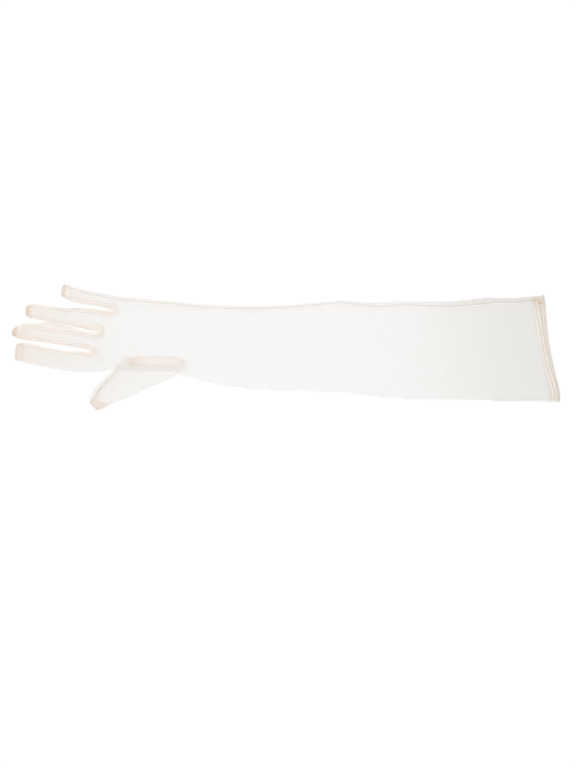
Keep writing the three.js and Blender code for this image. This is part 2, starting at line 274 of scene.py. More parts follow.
def rightOf(points, rounds=2):
    # unit vectors to the right of a plan line, a little smoothed
    heading = np.gradient(points, axis=0)
    side = unit(np.stack([heading[:, 1], -heading[:, 0]], axis=1))
    for _ in range(rounds):
        side[1:-1] = (side[:-2] + side[1:-1] * 2 + side[2:]) / 4
        side = unit(side)
    return side


def heightAt(x):
    return np.interp(x, armLines["heightX"], armLines["height"])


def shoulderAt(x):
    return np.interp(x, armLines["shoulderX"], armLines["shoulder"])


def ripple(x, y):
    # long soft waves of cloth that lies a little loose, mm
    wave = 0.30 * np.sin(x / 23 + y / 41 + 0.7) + 0.22 * np.sin(x / 13 - y / 19 + 2.1)
    wave += 0.18 * np.sin(y / 9 + x / 57 + 0.4) + 0.12 * np.sin(x / 7.5 + y / 15)
    return edges["looseness"] * wave


def plateau(distance, flat, end, most=1):
    # the most up to the first distance, then down to 0 at the second
    share = np.clip((distance - flat) / (end - flat), 0, 1)
    return most * (1 - share * share * (3 - 2 * share))


def rounded(share):
    # 0 at an edge, 1 where its rounding ends
    return (1 - (1 - share) ** 2) ** edges["roundness"]


def overTop(x, y, distance, waist, shoulder):
    # height of the upper cloth, by its distance from the edge of the glove
    rise = rounded(np.clip(distance / shoulder, 0, 1))
    loose = np.clip(distance / 9, 0, 1) ** 2
    return waist + (heightAt(x) - waist) * rise + loose * ripple(x, y)


def underside(x, y, distance, waist):
    foot, clear, lift = edges["footShare"] * heightAt(x), edges["floorClear"], edges["underLift"]
    fall = rounded(np.clip(distance / foot, 0, 1))
    loose = np.clip(distance / 12, 0, 1) ** 2
    wave = lift + lift * ripple(x * 1.3 + 40, y * 0.8 - 25)
    return clear + (waist - clear) * (1 - fall) + loose * wave


def rowsBetween(low, high, distances):
    # both sides of a finger at these distances from its end, smooth between the rows
    rows = smoothLine(np.hstack([low[:4], high[:4]]), 0.25)
    middle = (rows[:, :2] + rows[:, 2:]) / 2
    return np.stack([np.interp(distances, lengthsAlong(middle), side) for side in rows.T], axis=1)


def cutPlace(finger):
    # X where the gathered end of a finger meets the rest of it
    row = rowsBetween(fingerLines[finger]["low"], fingerLines[finger]["high"], [edges["tipLength"]])
    return (row[0, 0] + row[0, 2]) / 2


def inFinger(points, finger):
    # which plan points lie between the sides of a finger, or in line with it
    low, high = (np.array(fingerLines[finger][side]) for side in ("low", "high"))
    x, y = points.T
    margin = edges["fingerMargin"]
    above = y > np.interp(x, low[:, 0], low[:, 1]) - margin
    return above & (y < np.interp(x, high[:, 0], high[:, 1]) + margin)


def inTips(points, margin):
    # which plan points lie in the gathered cloth of a fingertip
    found = np.zeros(len(points), bool)
    for finger in fingerLines:
        found |= (points[:, 0] < cutPlace(finger) + margin) & inFinger(points, finger)
    return found


def gapPath(gap):
    # the edge of the space between two fingers, with the cloth on its right, and its bands
    centre = np.array(gap["crotch"]) - (gap["radius"], 0)
    turn = np.radians(np.linspace(-edges["crotchTurn"], edges["crotchTurn"], 11))
    arc = centre + gap["radius"] * np.stack([np.cos(turn), np.sin(turn)], axis=1)
    step = edges["sampleStep"]
    lower = smoothLine([*fingerLines[gap["lower"]]["high"], tuple(arc[0])], step)[:-1]
    upper = smoothLine([tuple(arc[-1]), *fingerLines[gap["upper"]]["low"][::-1]], step)[1:]
    bands = np.concatenate([
        byX(lower[:, 0], gap["lowerBand"]), np.full(len(arc), gap["crotchBand"]),
        byX(upper[:, 0], gap["upperBand"]),
    ])
    evenOut(bands)
    return np.vstack([lower, arc, upper]), bands


foldLine = smoothLine([*fingerLines["index"]["low"], *armLines["fold"]], edges["sampleStep"])
seamLine = smoothLine([*fingerLines["little"]["high"], *armLines["seam"]], edges["sampleStep"])
gapPaths, gapBands = {}, {}
for gapName, gapLine in gapLines.items():
    gapPaths[gapName], gapBands[gapName] = gapPath(gapLine)
outline = np.vstack([
    foldLine[::-1], gapPaths["index_middle"], gapPaths["middle_ring"], gapPaths["ring_little"],
    seamLine,
])
waists = np.concatenate([
    edges["foldWaist"] * heightAt(foldLine[::-1][:, 0]),
    np.full(sum(len(path) for path in gapPaths.values()), edges["gapWaist"]),
    np.full(len(seamLine), edges["seamWaist"]),
])
print("the glove's outline is drawn")


def nearestOn(line):
    tree = KDTree(len(line))
    for i, (x, y) in enumerate(line):
        tree.insert((x, y, 0), i)
    tree.balance()
    return tree


def distanceTo(tree, points):
    found = [tree.find((x, y, 0)) for x, y in points]
    return np.array([hit[2] for hit in found]), np.array([hit[1] for hit in found])


allBands = np.concatenate(list(gapBands.values()))
gapTree = nearestOn(np.vstack(list(gapPaths.values())))


def inPolygon(points, polygon):
    x, y = points.T
    inside = np.zeros(len(points), bool)
    for (x0, y0), (x1, y1) in zip(polygon, np.roll(polygon, -1, axis=0)):
        if y0 != y1:
            crosses = (y0 > y) != (y1 > y)
            inside ^= crosses & (x < x0 + (y - y0) * (x1 - x0) / (y1 - y0))
    return inside


def vertexPlaces(piece):
    places = np.empty(len(piece.data.vertices) * 3)
    piece.data.vertices.foreach_get("co", places)
    return places.reshape(-1, 3) / millimetre


def moveVertices(piece, places):
    piece.data.vertices.foreach_set("co", (places * millimetre).ravel())
    piece.data.update()


def layPattern(piece, places, turn, shift=(0, 0)):
    # UVs in metres on the cloth, one pair for each vertex
    angle = math.radians(turn)
    x, y = (places * millimetre).T
    u = x * math.cos(angle) - y * math.sin(angle) + shift[0]
    v = x * math.sin(angle) + y * math.cos(angle) + shift[1]
    layer = piece.data.uv_layers.active or piece.data.uv_layers.new(name="cloth")
    corners = np.empty(len(piece.data.loops), int)
    piece.data.loops.foreach_get("vertex_index", corners)
    layer.data.foreach_set("uv", np.stack([u, v], axis=1)[corners].ravel())


def markCloth(piece, name, values):
    # a value from 0 to 1 at each vertex, which the materials read: "sewn" is how much sewn cloth gathers
    # there, "crease" how close it is to a folded edge, where the net material paints shade as extra thread;
    # on the thumb and index finger it also gives a denser net all over
    layer = piece.data.attributes.new(name, "FLOAT", "POINT")
    layer.data.foreach_set("value", np.clip(values, 0, 1).astype(np.float32).ravel())


def fromGaps(points):
    # distance beyond the seam line round the nearest gap, negative inside its strip
    distance, hit = distanceTo(gapTree, points)
    return distance - allBands[hit]


def sheetFromRows(name, rows, turn, **marks):
    # a grid whose vertices are set from rows of points, with its weave along the rows
    rows = np.asarray(rows, float)
    count, across = rows.shape[:2]
    deselectAll()
    bpy.ops.mesh.primitive_grid_add(x_subdivisions=across - 1, y_subdivisions=count - 1, size=1)
    piece = bpy.context.object
    piece.name = piece.data.name = name
    moveVertices(piece, rows.reshape(-1, 3))
    middle = rows[:, across // 2]
    u = lengthsAlong(middle)
    spread = np.linalg.norm(np.diff(rows, axis=1), axis=2)
    v = np.concatenate([np.zeros((count, 1)), np.cumsum(spread, axis=1)], axis=1)
    flat = np.stack([np.repeat(u[:, None], across, axis=1), v], axis=2)
    layPattern(piece, flat.reshape(-1, 2), turn)
    for mark, values in marks.items():
        markCloth(piece, mark, np.array(values))
    return piece


def sheetFromColumns(name, columns, turn, sewn):
    # the same from lines that run along the cloth
    return sheetFromRows(name, np.stack(columns, axis=1), turn, sewn=np.stack(sewn, axis=1))


def joinPieces(name, pieces):
    deselectAll()
    for piece in pieces:
        piece.select_set(True)
    bpy.context.view_layer.objects.active = pieces[0]
    if len(pieces) > 1:
        bpy.ops.object.join()
    whole = bpy.context.object
    whole.name = whole.data.name = name
    return whole


def weld(piece, reach=0.02):
    # merges what meets and turns the faces outward
    makeActive(piece)
    setMode("EDIT")
    bpy.ops.mesh.select_all(action="SELECT")
    bpy.ops.mesh.remove_doubles(threshold=reach * millimetre)
    bpy.ops.mesh.dissolve_degenerate(threshold=0.01 * millimetre)
    bpy.ops.mesh.select_all(action="SELECT")
    bpy.ops.mesh.normals_make_consistent(inside=False)
    setMode("OBJECT")
    # an open tube can come out turned inside out
    faces = piece.data.polygons
    middle = sum((face.center for face in faces), Vector()) / len(faces)
    if sum(face.area * face.normal.dot(face.center - middle) for face in faces) < 0:
        setMode("EDIT")
        bpy.ops.mesh.flip_normals()
        setMode("OBJECT")


def thicken(piece, thickness):
    makeActive(piece)
    wall = piece.modifiers.new("wall", "SOLIDIFY")
    wall.thickness = thickness * millimetre
    wall.offset = -1
    bpy.ops.object.modifier_apply(modifier=wall.name)
    bpy.ops.object.shade_smooth()


def dress(piece, material, slotName, *nodes):
    piece.data.materials.clear()
    piece.data.materials.append(material)
    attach(piece, "root")
    if nodes:
        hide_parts(*nodes)


def dressCloth(piece, thickness, *look):
    thicken(piece, thickness)
    dress(piece, *look)


def closed(points):
    # a line that ends where it starts
    return np.vstack([points, points[:1]])


def atHeight(line, height):
    # a plan line, lifted
    return np.column_stack([line, np.full(len(line), height)])


def lineCurve(name, points):
    # a curve on a line of points
    curve = bpy.data.curves.new(name, "CURVE")
    curve.dimensions = "3D"
    line = curve.splines.new("POLY")
    line.points.add(len(points) - 1)
    for point, (x, y, z) in zip(line.points, points * millimetre):
        point.co = (x, y, z, 1)
    piece = bpy.data.objects.new(name, curve)
    bpy.context.collection.objects.link(piece)
    makeActive(piece)
    return piece


def cordAlong(name, points, radius, isRing=False):
    # a round cord on a line of points, as a mesh
    curve = lineCurve(name, points).data
    curve.splines[0].use_cyclic_u = isRing
    curve.bevel_depth = radius * millimetre
    curve.bevel_resolution = 1
    curve.use_fill_caps = not isRing
    bpy.ops.object.convert(target="MESH")
    bpy.ops.object.shade_smooth()
    return bpy.context.object


# one stitch; a seam's own table can give another pitch and slant
stitch = {
    "length": 1.7, "width": 0.2, "height": 0.16, "pitch": 2.3, "slant": 24, "sides": 6, "rings": 5,
}


def stitchesAlong(name, points, lift, pitch, slant):
    # one stitch, repeated along a line of points
    deselectAll()
    bpy.ops.mesh.primitive_uv_sphere_add(
        segments=stitch["sides"], ring_count=stitch["rings"], radius=1, rotation=(0, math.radians(90), 0)
    )
    piece = bpy.context.object
    piece.name = piece.data.name = name
    bpy.ops.object.transform_apply(location=False, rotation=True, scale=False)
    piece.scale = [stitch[size] / 2 * millimetre for size in ("length", "width", "height")]
    piece.rotation_euler = (0, 0, math.radians(slant))
    piece.location = (pitch / 2 * millimetre, 0, lift * millimetre)
    bpy.ops.object.transform_apply(location=True, rotation=True, scale=True)
    path = lineCurve(name + "Guide", points)
    path.data.twist_mode = "Z_UP"
    makeActive(piece)
    row = piece.modifiers.new("row", "ARRAY")
    row.use_relative_offset = False
    row.use_constant_offset = True
    row.constant_offset_displace = (pitch * millimetre, 0, 0)
    row.fit_type = "FIT_LENGTH"
    row.fit_length = (np.linalg.norm(np.diff(points, axis=0), axis=1).sum() - pitch / 2) * millimetre
    bend = piece.modifiers.new("bend", "CURVE")
    bend.object = path
    bpy.ops.object.modifier_apply(modifier=row.name)
    bpy.ops.object.modifier_apply(modifier=bend.name)
    bpy.ops.object.shade_smooth()
    bpy.data.objects.remove(path)
    return piece


def seamThread(name, points, table, stitched=None, isRing=False):
    # a cord and the stitches over it, which can follow a line of their own
    line = points if stitched is None else stitched
    pitch, slant = (table.get(size, stitch[size]) for size in ("pitch", "slant"))
    return [
        cordAlong(name + "Cord", points, table["cord"], isRing),
        stitchesAlong(name + "Stitches", line, table["stitchLift"], pitch, slant),
    ]


def addNode(tree, kind, inputs=(), **settings):
    # a shader node, its settings, and its inputs: each one a value or a link
    node = tree.nodes.new("ShaderNode" + kind)
    for name, value in settings.items():
        setattr(node, name, value)
    for name, value in dict(inputs).items():
        if isinstance(value, bpy.types.NodeSocket):
            tree.links.new(value, node.inputs[name])
        else:
            node.inputs[name].default_value = value
    return node


def mathNode(tree, operation, *values):
    return addNode(tree, "Math", enumerate(values), operation=operation).outputs[0]


def vectorMath(tree, operation, *values):
    return addNode(tree, "VectorMath", enumerate(values), operation=operation).outputs["Vector"]


def vectorMeasure(tree, operation, *values):
    return addNode(tree, "VectorMath", enumerate(values), operation=operation).outputs["Value"]


def scaled(tree, vector, factor):
    inputs = {0: vector, "Scale": factor}
    return addNode(tree, "VectorMath", inputs, operation="SCALE").outputs["Vector"]


def makeHexNet():
    # threads of a hexagonal net: 1 on a thread, 0 in a hole
    net = bpy.data.node_groups.new("hexNet", "ShaderNodeTree")
    face = net.interface
    face.new_socket("Place", in_out="INPUT", socket_type="NodeSocketVector")
    for name in ("Cell", "Thread", "Softness", "Wander"):
        face.new_socket(name, in_out="INPUT", socket_type="NodeSocketFloat")
    face.new_socket("Net", in_out="OUTPUT", socket_type="NodeSocketFloat")
    entry = net.nodes.new("NodeGroupInput").outputs
    leave = net.nodes.new("NodeGroupOutput")

    # the place in cells, which drifts a little
    drift = addNode(net, "TexNoise", {"Vector": entry["Place"], "Scale": 260, "Detail": 1})
    centred = vectorMath(net, "SUBTRACT", drift.outputs["Color"], (0.5, 0.5, 0.5))
    counted = scaled(net, entry["Place"], mathNode(net, "DIVIDE", 1.0, entry["Cell"]))
    place = vectorMath(net, "ADD", counted, scaled(net, centred, entry["Wander"]))
    level = vectorMath(net, "MULTIPLY", place, (1, 1, 0))

    # from the middle of the nearer of two sets of cells
    half = (0.5, math.sqrt(3) / 2, 0.5)
    least = tuple(-value for value in half)
    first = vectorMath(net, "WRAP", level, half, least)
    shifted = vectorMath(net, "SUBTRACT", level, (0.5, math.sqrt(3) / 2, 0))
    second = vectorMath(net, "WRAP", shifted, half, least)
    lengths = [vectorMeasure(net, "LENGTH", vector) for vector in (first, second)]
    useFirst = mathNode(net, "LESS_THAN", *lengths)
    nearer = addNode(net, "Mix", {"Factor": useFirst, 4: second, 5: first}, data_type="VECTOR")
    size = vectorMath(net, "ABSOLUTE", nearer.outputs[1])

    # from the edge of the cell, where the thread runs
    slanted = vectorMeasure(net, "DOT_PRODUCT", size, (0.5, math.sqrt(3) / 2, 0))
    split = addNode(net, "SeparateXYZ", {0: size})
    furthest = mathNode(net, "MAXIMUM", split.outputs["X"], slanted)
    fromEdge = mathNode(net, "SUBTRACT", 0.5, furthest)
    halfThread = mathNode(net, "MULTIPLY", entry["Thread"], 0.5)
    inner, outer = (
        mathNode(net, "MULTIPLY", halfThread, mathNode(net, operation, 1.0, entry["Softness"]))
        for operation in ("SUBTRACT", "ADD")
    )
    thread = addNode(net, "MapRange", {
        "Value": fromEdge, "From Min": inner, "From Max": outer, "To Min": 1, "To Max": 0,
    }, interpolation_type="SMOOTHSTEP")
    net.links.new(thread.outputs["Result"], leave.inputs["Net"])
    return net


hexNet = makeHexNet()

# two colours in small clouds, the colour of sewn cloth, the net's cell and thread, how much light a thread
# stops, what sewing adds to its width, and the extra width at the crease mark: painted shade along folded
# edges, and a denser net on the thumb and index finger
plainFinish = {
    "cell": 0.0009, "alpha": 0.57, "fill": 0.002, "along": None, "sewnFill": 0.0, "foldShadeAndDensityThread": 0.0,
}
netFinish = {
    **plainFinish, "color": (0.665, 0.639, 0.593), "tint": (0.735, 0.709, 0.663),
    "seamColor": (0.76, 0.51, 0.34), "thread": 0.036, "fill": 0.004, "patch": 42,
    "sewnThread": 0.5, "foldShadeAndDensityThread": 2.2,
    # share of the thread's width along the glove, by X in metres
    "along": [(-0.281, 1.12), (-0.205, 1.12), (-0.178, 1.14), (-0.160, 1.09), (-0.145, 1.03),
              (-0.124, 1.01), (-0.095, 0.96), (-0.03, 0.97), (0.03, 0.98), (0.08, 1.02), (0.11, 1.05),
              (0.13, 1.18), (0.152, 1.33), (0.173, 1.54), (0.194, 1.80), (0.215, 2.04), (0.2365, 2.2),
              (0.2577, 2.32), (0.265, 2.25), (0.2685, 1.9), (0.281, 1.8)],
}
thumbFinish = {
    **netFinish, "color": (0.66, 0.62, 0.55), "tint": (0.73, 0.69, 0.62), "thread": 0.019,
    "sewnThread": 0.9, "foldShadeAndDensityThread": 1.7, "along": None,
}
fourchetteFinish = {
    **plainFinish, "color": (0.745, 0.55, 0.39), "tint": (0.81, 0.63, 0.48),
    "seamColor": (0.73, 0.50, 0.32), "thread": 0.048, "alpha": 0.5, "patch": 120,
    "sewnThread": 1.3, "sewnFill": 0.01,
}
ringFinish = {
    **fourchetteFinish, "color": (0.89, 0.60, 0.43), "tint": (0.93, 0.69, 0.53),
    "seamColor": (0.80, 0.56, 0.39), "thread": 0.02, "sewnThread": 5.0,
}
allowanceFinish = {
    **plainFinish, "color": (0.66, 0.61, 0.55), "tint": (0.74, 0.69, 0.63),
    "seamColor": (0.72, 0.52, 0.38), "thread": 0.042, "patch": 90, "along": netFinish["along"],
    "sewnThread": 0.9,
}
thumbAllowanceFinish = {
    **allowanceFinish, "color": (0.68, 0.59, 0.50), "tint": (0.76, 0.68, 0.59), "along": None,
}
gatherFinish = {
    **plainFinish, "color": (0.77, 0.55, 0.36), "tint": (0.83, 0.64, 0.46),
    "seamColor": (0.70, 0.46, 0.27), "cell": 0.0007, "thread": 0.012, "alpha": 0.6, "patch": 260,
    "sewnThread": 7.0, "sewnFill": 0.02,
}
cornerFinish = {
    **gatherFinish, "color": (0.66, 0.55, 0.46), "tint": (0.75, 0.65, 0.56),
    "seamColor": (0.84, 0.58, 0.30), "thread": 0.014, "fill": 0.004, "sewnThread": 3.6, "sewnFill": 0.06,
}
hemFinish = {
    **plainFinish, "color": (0.76, 0.55, 0.32), "tint": (0.84, 0.64, 0.42),
    "seamColor": (0.60, 0.56, 0.50), "thread": 0.0235, "patch": 110,
    "sewnThread": 5.0, "sewnFill": 0.01, "foldShadeAndDensityThread": 3.2,
}
threadColors = {
    "fineThread": ((0.72, 0.50, 0.33), (0.82, 0.62, 0.45)),
    "softThread": ((0.70, 0.53, 0.41), (0.80, 0.65, 0.53)),
    # a tan thread made darker and greyer, which paints the shade in the fold of the seams it follows
    "tanShadeThread": ((0.56, 0.42, 0.33), (0.70, 0.56, 0.46)),
    "cuffThread": ((0.40, 0.30, 0.21), (0.53, 0.42, 0.32)),
    "knotThread": ((0.62, 0.41, 0.20), (0.75, 0.54, 0.30)),
}


def newSurface(name, roughness, specular, sheen):
    material = bpy.data.materials.new(name)
    material.use_nodes = True
    tree = material.node_tree
    surface = tree.nodes["Principled BSDF"].inputs
    surface["Roughness"].default_value = roughness
    surface["Specular IOR Level"].default_value = specular
    surface["Sheen Weight"].default_value = sheen
    return material, tree, surface, tree.nodes.new("ShaderNodeTexCoord").outputs


def colorMix(tree, factor, first, second):
    inputs = {"Factor": factor, 6: first, 7: second}
    return addNode(tree, "Mix", inputs, data_type="RGBA").outputs[2]


def cloudColor(tree, place, patch, detail, color, tint):
    # two colours in soft clouds
    inputs = {"Vector": place["Object"], "Scale": patch, "Detail": detail}
    clouds = addNode(tree, "TexNoise", inputs)
    return colorMix(tree, clouds.outputs["Fac"], (*color, 1), (*tint, 1))


def addRelief(tree, surface, height, strength):
    inputs = {"Height": height, "Strength": strength, "Distance": 0.0001}
    tree.links.new(addNode(tree, "Bump", inputs).outputs["Normal"], surface["Normal"])


def alongShare(tree, place, table):
    # a curve by Object X, from the table of X and share
    low, high = table[0][0], table[-1][0]
    most = max(share for _, share in table)
    split = addNode(tree, "SeparateXYZ", {0: place["Object"]})
    span = addNode(tree, "MapRange", {"Value": split.outputs["X"], "From Min": low, "From Max": high})
    ramp = addNode(tree, "FloatCurve", {"Value": span.outputs["Result"]})
    points = ramp.mapping.curves[0].points
    stops = [((x - low) / (high - low), share / most) for x, share in table]
    points[0].location, points[1].location = stops[0], stops[-1]
    for stop in stops[1:-1]:
        points.new(*stop)
    ramp.mapping.update()
    return mathNode(tree, "MULTIPLY", ramp.outputs["Value"], most)


def clothMaterial(name, finish):
    material, tree, surface, place = newSurface(name, 0.82, 0.25, 0.1)
    sewn, crease = (
        addNode(tree, "Attribute", attribute_name=mark).outputs["Fac"] for mark in ("sewn", "crease")
    )
    # thread width: more of it along the cuff and where cloth is sewn together
    # the crease mark widens the thread: painted shade along folded edges, and a denser net on the thumb and
    # index finger
    folded = mathNode(tree, "MULTIPLY_ADD", crease, finish["foldShadeAndDensityThread"], 1.0)
    width = mathNode(tree, "MULTIPLY_ADD", sewn, finish["sewnThread"], folded)
    if finish["along"]:
        width = mathNode(tree, "MULTIPLY", width, alongShare(tree, place, finish["along"]))
    thread = mathNode(tree, "MULTIPLY", width, finish["thread"])
    net = addNode(tree, "Group", {
        "Place": place["UV"], "Cell": finish["cell"], "Thread": thread, "Softness": 0.6, "Wander": 0.12,
    }, node_tree=hexNet)

    base = cloudColor(tree, place, finish["patch"], 3, finish["color"], finish["tint"])
    color = colorMix(tree, sewn, base, (*finish["seamColor"], 1))
    # thread cover, never quite nothing in a hole
    fill = mathNode(tree, "MULTIPLY_ADD", sewn, finish["sewnFill"], finish["fill"])
    cover = addNode(tree, "MapRange", {
        "Value": net.outputs["Net"], "To Min": fill, "To Max": finish["alpha"],
    })
    tree.links.new(color, surface["Base Color"])
    tree.links.new(cover.outputs["Result"], surface["Alpha"])
    addRelief(tree, surface, net.outputs["Net"], 0.35)
    return material


def threadMaterial(name, color, tint):
    material, tree, surface, place = newSurface(name, 0.6, 0.35, 0.2)
    tree.links.new(cloudColor(tree, place, 420, 2, color, tint), surface["Base Color"])
    plies = addNode(tree, "TexNoise", {"Vector": place["Object"], "Scale": 5200})
    addRelief(tree, surface, plies.outputs["Fac"], 0.4)
    return material


netCloth = clothMaterial("netCloth", netFinish)
thumbCloth = clothMaterial("thumbCloth", thumbFinish)
fourchetteCloth = clothMaterial("fourchetteCloth", fourchetteFinish)
ringCloth = clothMaterial("ringCloth", ringFinish)
allowanceCloth = clothMaterial("allowanceCloth", allowanceFinish)
gatherCloth = clothMaterial("gatherCloth", gatherFinish)
cornerCloth = clothMaterial("cornerCloth", cornerFinish)
hemCloth = clothMaterial("hemCloth", hemFinish)
thumbAllowanceCloth = clothMaterial("thumbAllowanceCloth", thumbAllowanceFinish)
threads = {name: threadMaterial(name, *colors) for name, colors in threadColors.items()}
print("materials are made")


# the hand and arm: palm and back, one cloth folded along the thumb side
trank = {
    "cell": 2.0, "thickness": 0.1,
    "palmTurn": 8, "palmShift": (0.4, 0.4), "backTurn": -5, "backShift": (1.4, 0.4),
    "backReach": 0.8,                  # how far the back runs in under the hem
    "borderStep": 0.3, "ovalGap": 0.2, "tipMargin": 4, "mouthY": (-68.2, 56), "edgeFlat": 0.75,
    "oval": {"x": -126.6, "y": -24.4, "halfLength": 29.2, "halfWidth": 6.5, "turn": -0.02, "square": 0.84},
    "fingerHaze": {"index": 0.4, "middle": 0.44, "ring": 0.55, "little": 1.0},
    "fingerHazeX": (-262, -178),      # the fingers look warmer than the arm, most at their ends
    # sewn cloth by the seams: up to what distance, where it ends, and the most of it
    "gapHaze": (0.6, 3.4, 0.8), "sideHaze": (0.4, 4.6, 0.7), "ringHaze": (0.3, 2.4, 0.4),
    "tipHaze": (0, 9, 0.85), "tipReach": 12,
    # painted shade along the folded edge, less where the thumb lies over it, and a little more thread all
    # over the index finger
    "foldShade": (0.2, 2), "underThumb": (20, 32, 0.7), "indexCrease": (-215, -165, 0.1),
}


def ovalLine(grow, count=120):
    hole = trank["oval"]
    angle = np.linspace(0, 2 * math.pi, count, endpoint=False)
    c, s = np.cos(angle), np.sin(angle)
    u = (hole["halfLength"] + grow) * np.sign(c) * np.abs(c) ** hole["square"]
    v = (hole["halfWidth"] + grow) * np.sign(s) * np.abs(s) ** hole["square"]
    c, s = math.cos(hole["turn"]), math.sin(hole["turn"])
    return np.stack([hole["x"] + u * c - v * s, hole["y"] + u * s + v * c], axis=1)


def borderPoints(withOval, reach):
    # plan points on the edge of the trank, close together
    insets, tips = [], []
    for name, path in gapPaths.items():
        insets.append(evenSteps(path + gapBands[name][:, None] * rightOf(path), trank["borderStep"]))
    for finger, lines in fingerLines.items():
        low, high = lines["low"][2][1] - trank["tipMargin"], lines["high"][2][1] + trank["tipMargin"]
        across = np.arange(low, high, trank["borderStep"])
        tips.append(np.stack([np.full(len(across), cutPlace(finger)), across], axis=1))
    sides = np.vstack([evenSteps(line, trank["borderStep"]) for line in (foldLine, seamLine)])
    insets, tips = np.vstack(insets), np.vstack(tips)
    across = np.linspace(*trank["mouthY"], 420)
    mouth = np.stack([byX(across, edges["hemStart"]) + reach, across], axis=1)
    # with a little slack where two of these lines meet
    keep = [
        sides[~inTips(sides, -0.05) & beforeHem(sides, -reach)],
        insets[(fromGaps(insets) > -0.25) & ~inTips(insets, -0.05)],
        tips[inPolygon(tips, outline) & inTips(tips, 0.1) & (fromGaps(tips) > -0.15)],
        mouth,
    ]
    if withOval:
        keep.append(evenSteps(ovalLine(trank["ovalGap"]), trank["borderStep"]))
    return np.vstack(keep)


def cutLayer(name, withOval, reach=0):
    # a grid over the whole glove, cut to the trank and drawn to its edge
    low, high = outline.min(axis=0) - 2, outline.max(axis=0) + 2
    count = np.ceil((high - low) / trank["cell"]).astype(int)
    centre, size = (low + high) / 2, high - low
    deselectAll()
    bpy.ops.mesh.primitive_grid_add(
        x_subdivisions=int(count[0]), y_subdivisions=int(count[1]), size=1,
        location=(centre[0] * millimetre, centre[1] * millimetre, 0),
    )
    layer = bpy.context.object
    layer.name = name
    layer.scale = (size[0] * millimetre, size[1] * millimetre, 1)
    bpy.ops.object.transform_apply(location=True, rotation=False, scale=True)

    centres = np.empty(len(layer.data.polygons) * 3)
    layer.data.polygons.foreach_get("center", centres)
    centres = centres.reshape(-1, 3)[:, :2] / millimetre
    spare = ~inPolygon(centres, outline) | inTips(centres, 0) | ~beforeHem(centres, -reach)
    spare |= fromGaps(centres) < 0
    if withOval:
        spare |= inPolygon(centres, ovalLine(trank["ovalGap"]))
    setMode("EDIT")
    bpy.ops.mesh.select_all(action="DESELECT")
    setMode("OBJECT")
    layer.data.polygons.foreach_set("select", spare)
    setMode("EDIT")
    bpy.ops.mesh.select_mode(type="FACE")
    bpy.ops.mesh.delete(type="FACE")
    bpy.ops.mesh.select_mode(type="VERT")
    bpy.ops.mesh.select_all(action="DESELECT")
    bpy.ops.mesh.select_non_manifold(extend=False)
    setMode("OBJECT")

    rim = np.empty(len(layer.data.vertices), bool)
    layer.data.vertices.foreach_get("select", rim)
    places = vertexPlaces(layer)
    border = borderPoints(withOval, reach)
    hits = distanceTo(nearestOn(border), places[rim, :2])[1]
    places[rim, :2] = border[hits]
    moveVertices(layer, places)
    layer.data.vertices.foreach_set("select", ~rim)
    setMode("EDIT")
    bpy.ops.mesh.vertices_smooth(factor=0.5, repeat=6)
    setMode("OBJECT")
    return layer


def sewnOnTrank(plan):
    x = plan[:, 0]
    byGap = plateau(fromGaps(plan), *trank["gapHaze"])
    bySide = plateau(distanceTo(nearestOn(seamLine), plan)[0], *trank["sideHaze"])
    byRing = plateau(distanceTo(nearestOn(ovalLine(trank["ovalGap"])), plan)[0], *trank["ringHaze"])
    byTip, inOne = np.zeros(len(plan)), np.zeros(len(plan))
    nearTips = inTips(plan, trank["tipReach"])
    for finger, haze in trank["fingerHaze"].items():
        fromCut = x - cutPlace(finger)
        near = nearTips & (np.abs(fromCut) < trank["tipReach"])
        byTip = np.maximum(byTip, near * plateau(fromCut, *trank["tipHaze"]))
        inOne = np.maximum(inOne, haze * inFinger(plan, finger) * plateau(x, *trank["fingerHazeX"]))
    return np.maximum.reduce([byGap, bySide, byRing, byTip, inOne])


def raiseLayer(layer, isTop, turn, shift):
    places = vertexPlaces(layer)
    plan = places[:, :2]
    distance, hit = distanceTo(nearestOn(outline), plan)
    distance = np.where(distance < trank["edgeFlat"], 0, distance)
    x, y = plan.T
    waist = waists[hit]
    inward = plan - outline[hit]
    inward /= np.maximum(np.linalg.norm(inward, axis=1), 0.01)[:, None]
    if isTop:
        places[:, 2] = overTop(x, y, distance, waist, shoulderAt(x))
        reach, rise = shoulderAt(x), heightAt(x) - waist
    else:
        places[:, 2] = underside(x, y, distance, waist)
        reach, rise = edges["footShare"] * heightAt(x), waist
    # the pattern goes on at full size round the edge
    extra = (np.sqrt(reach ** 2 + rise ** 2) - reach) * (1 - np.clip(distance / reach, 0, 1)) ** 2
    moveVertices(layer, places)
    markCloth(layer, "sewn", sewnOnTrank(plan))
    # painted shade along the folded edge, which the material draws as extra thread
    crease = plateau(distanceTo(nearestOn(foldLine), plan)[0], *trank["foldShade"])
    crease *= 1 - plateau(np.abs(x - trank["oval"]["x"]), *trank["underThumb"])
    onIndex = inFinger(plan, "index") * plateau(x, *trank["indexCrease"])
    markCloth(layer, "crease", np.maximum(crease, onIndex))
    layPattern(layer, plan - inward * extra[:, None], turn, shift)


def makeTrank():
    palm = cutLayer("palm", True)
    raiseLayer(palm, True, trank["palmTurn"], trank["palmShift"])
    back = cutLayer("back", False, trank["backReach"])
    raiseLayer(back, False, trank["backTurn"], trank["backShift"])
    whole = joinPieces("trank_net", [palm, back])
    weld(whole)
    dressCloth(whole, trank["thickness"], netCloth, "net", "trank")


makeTrank()
print("palm, back and arm are laid")


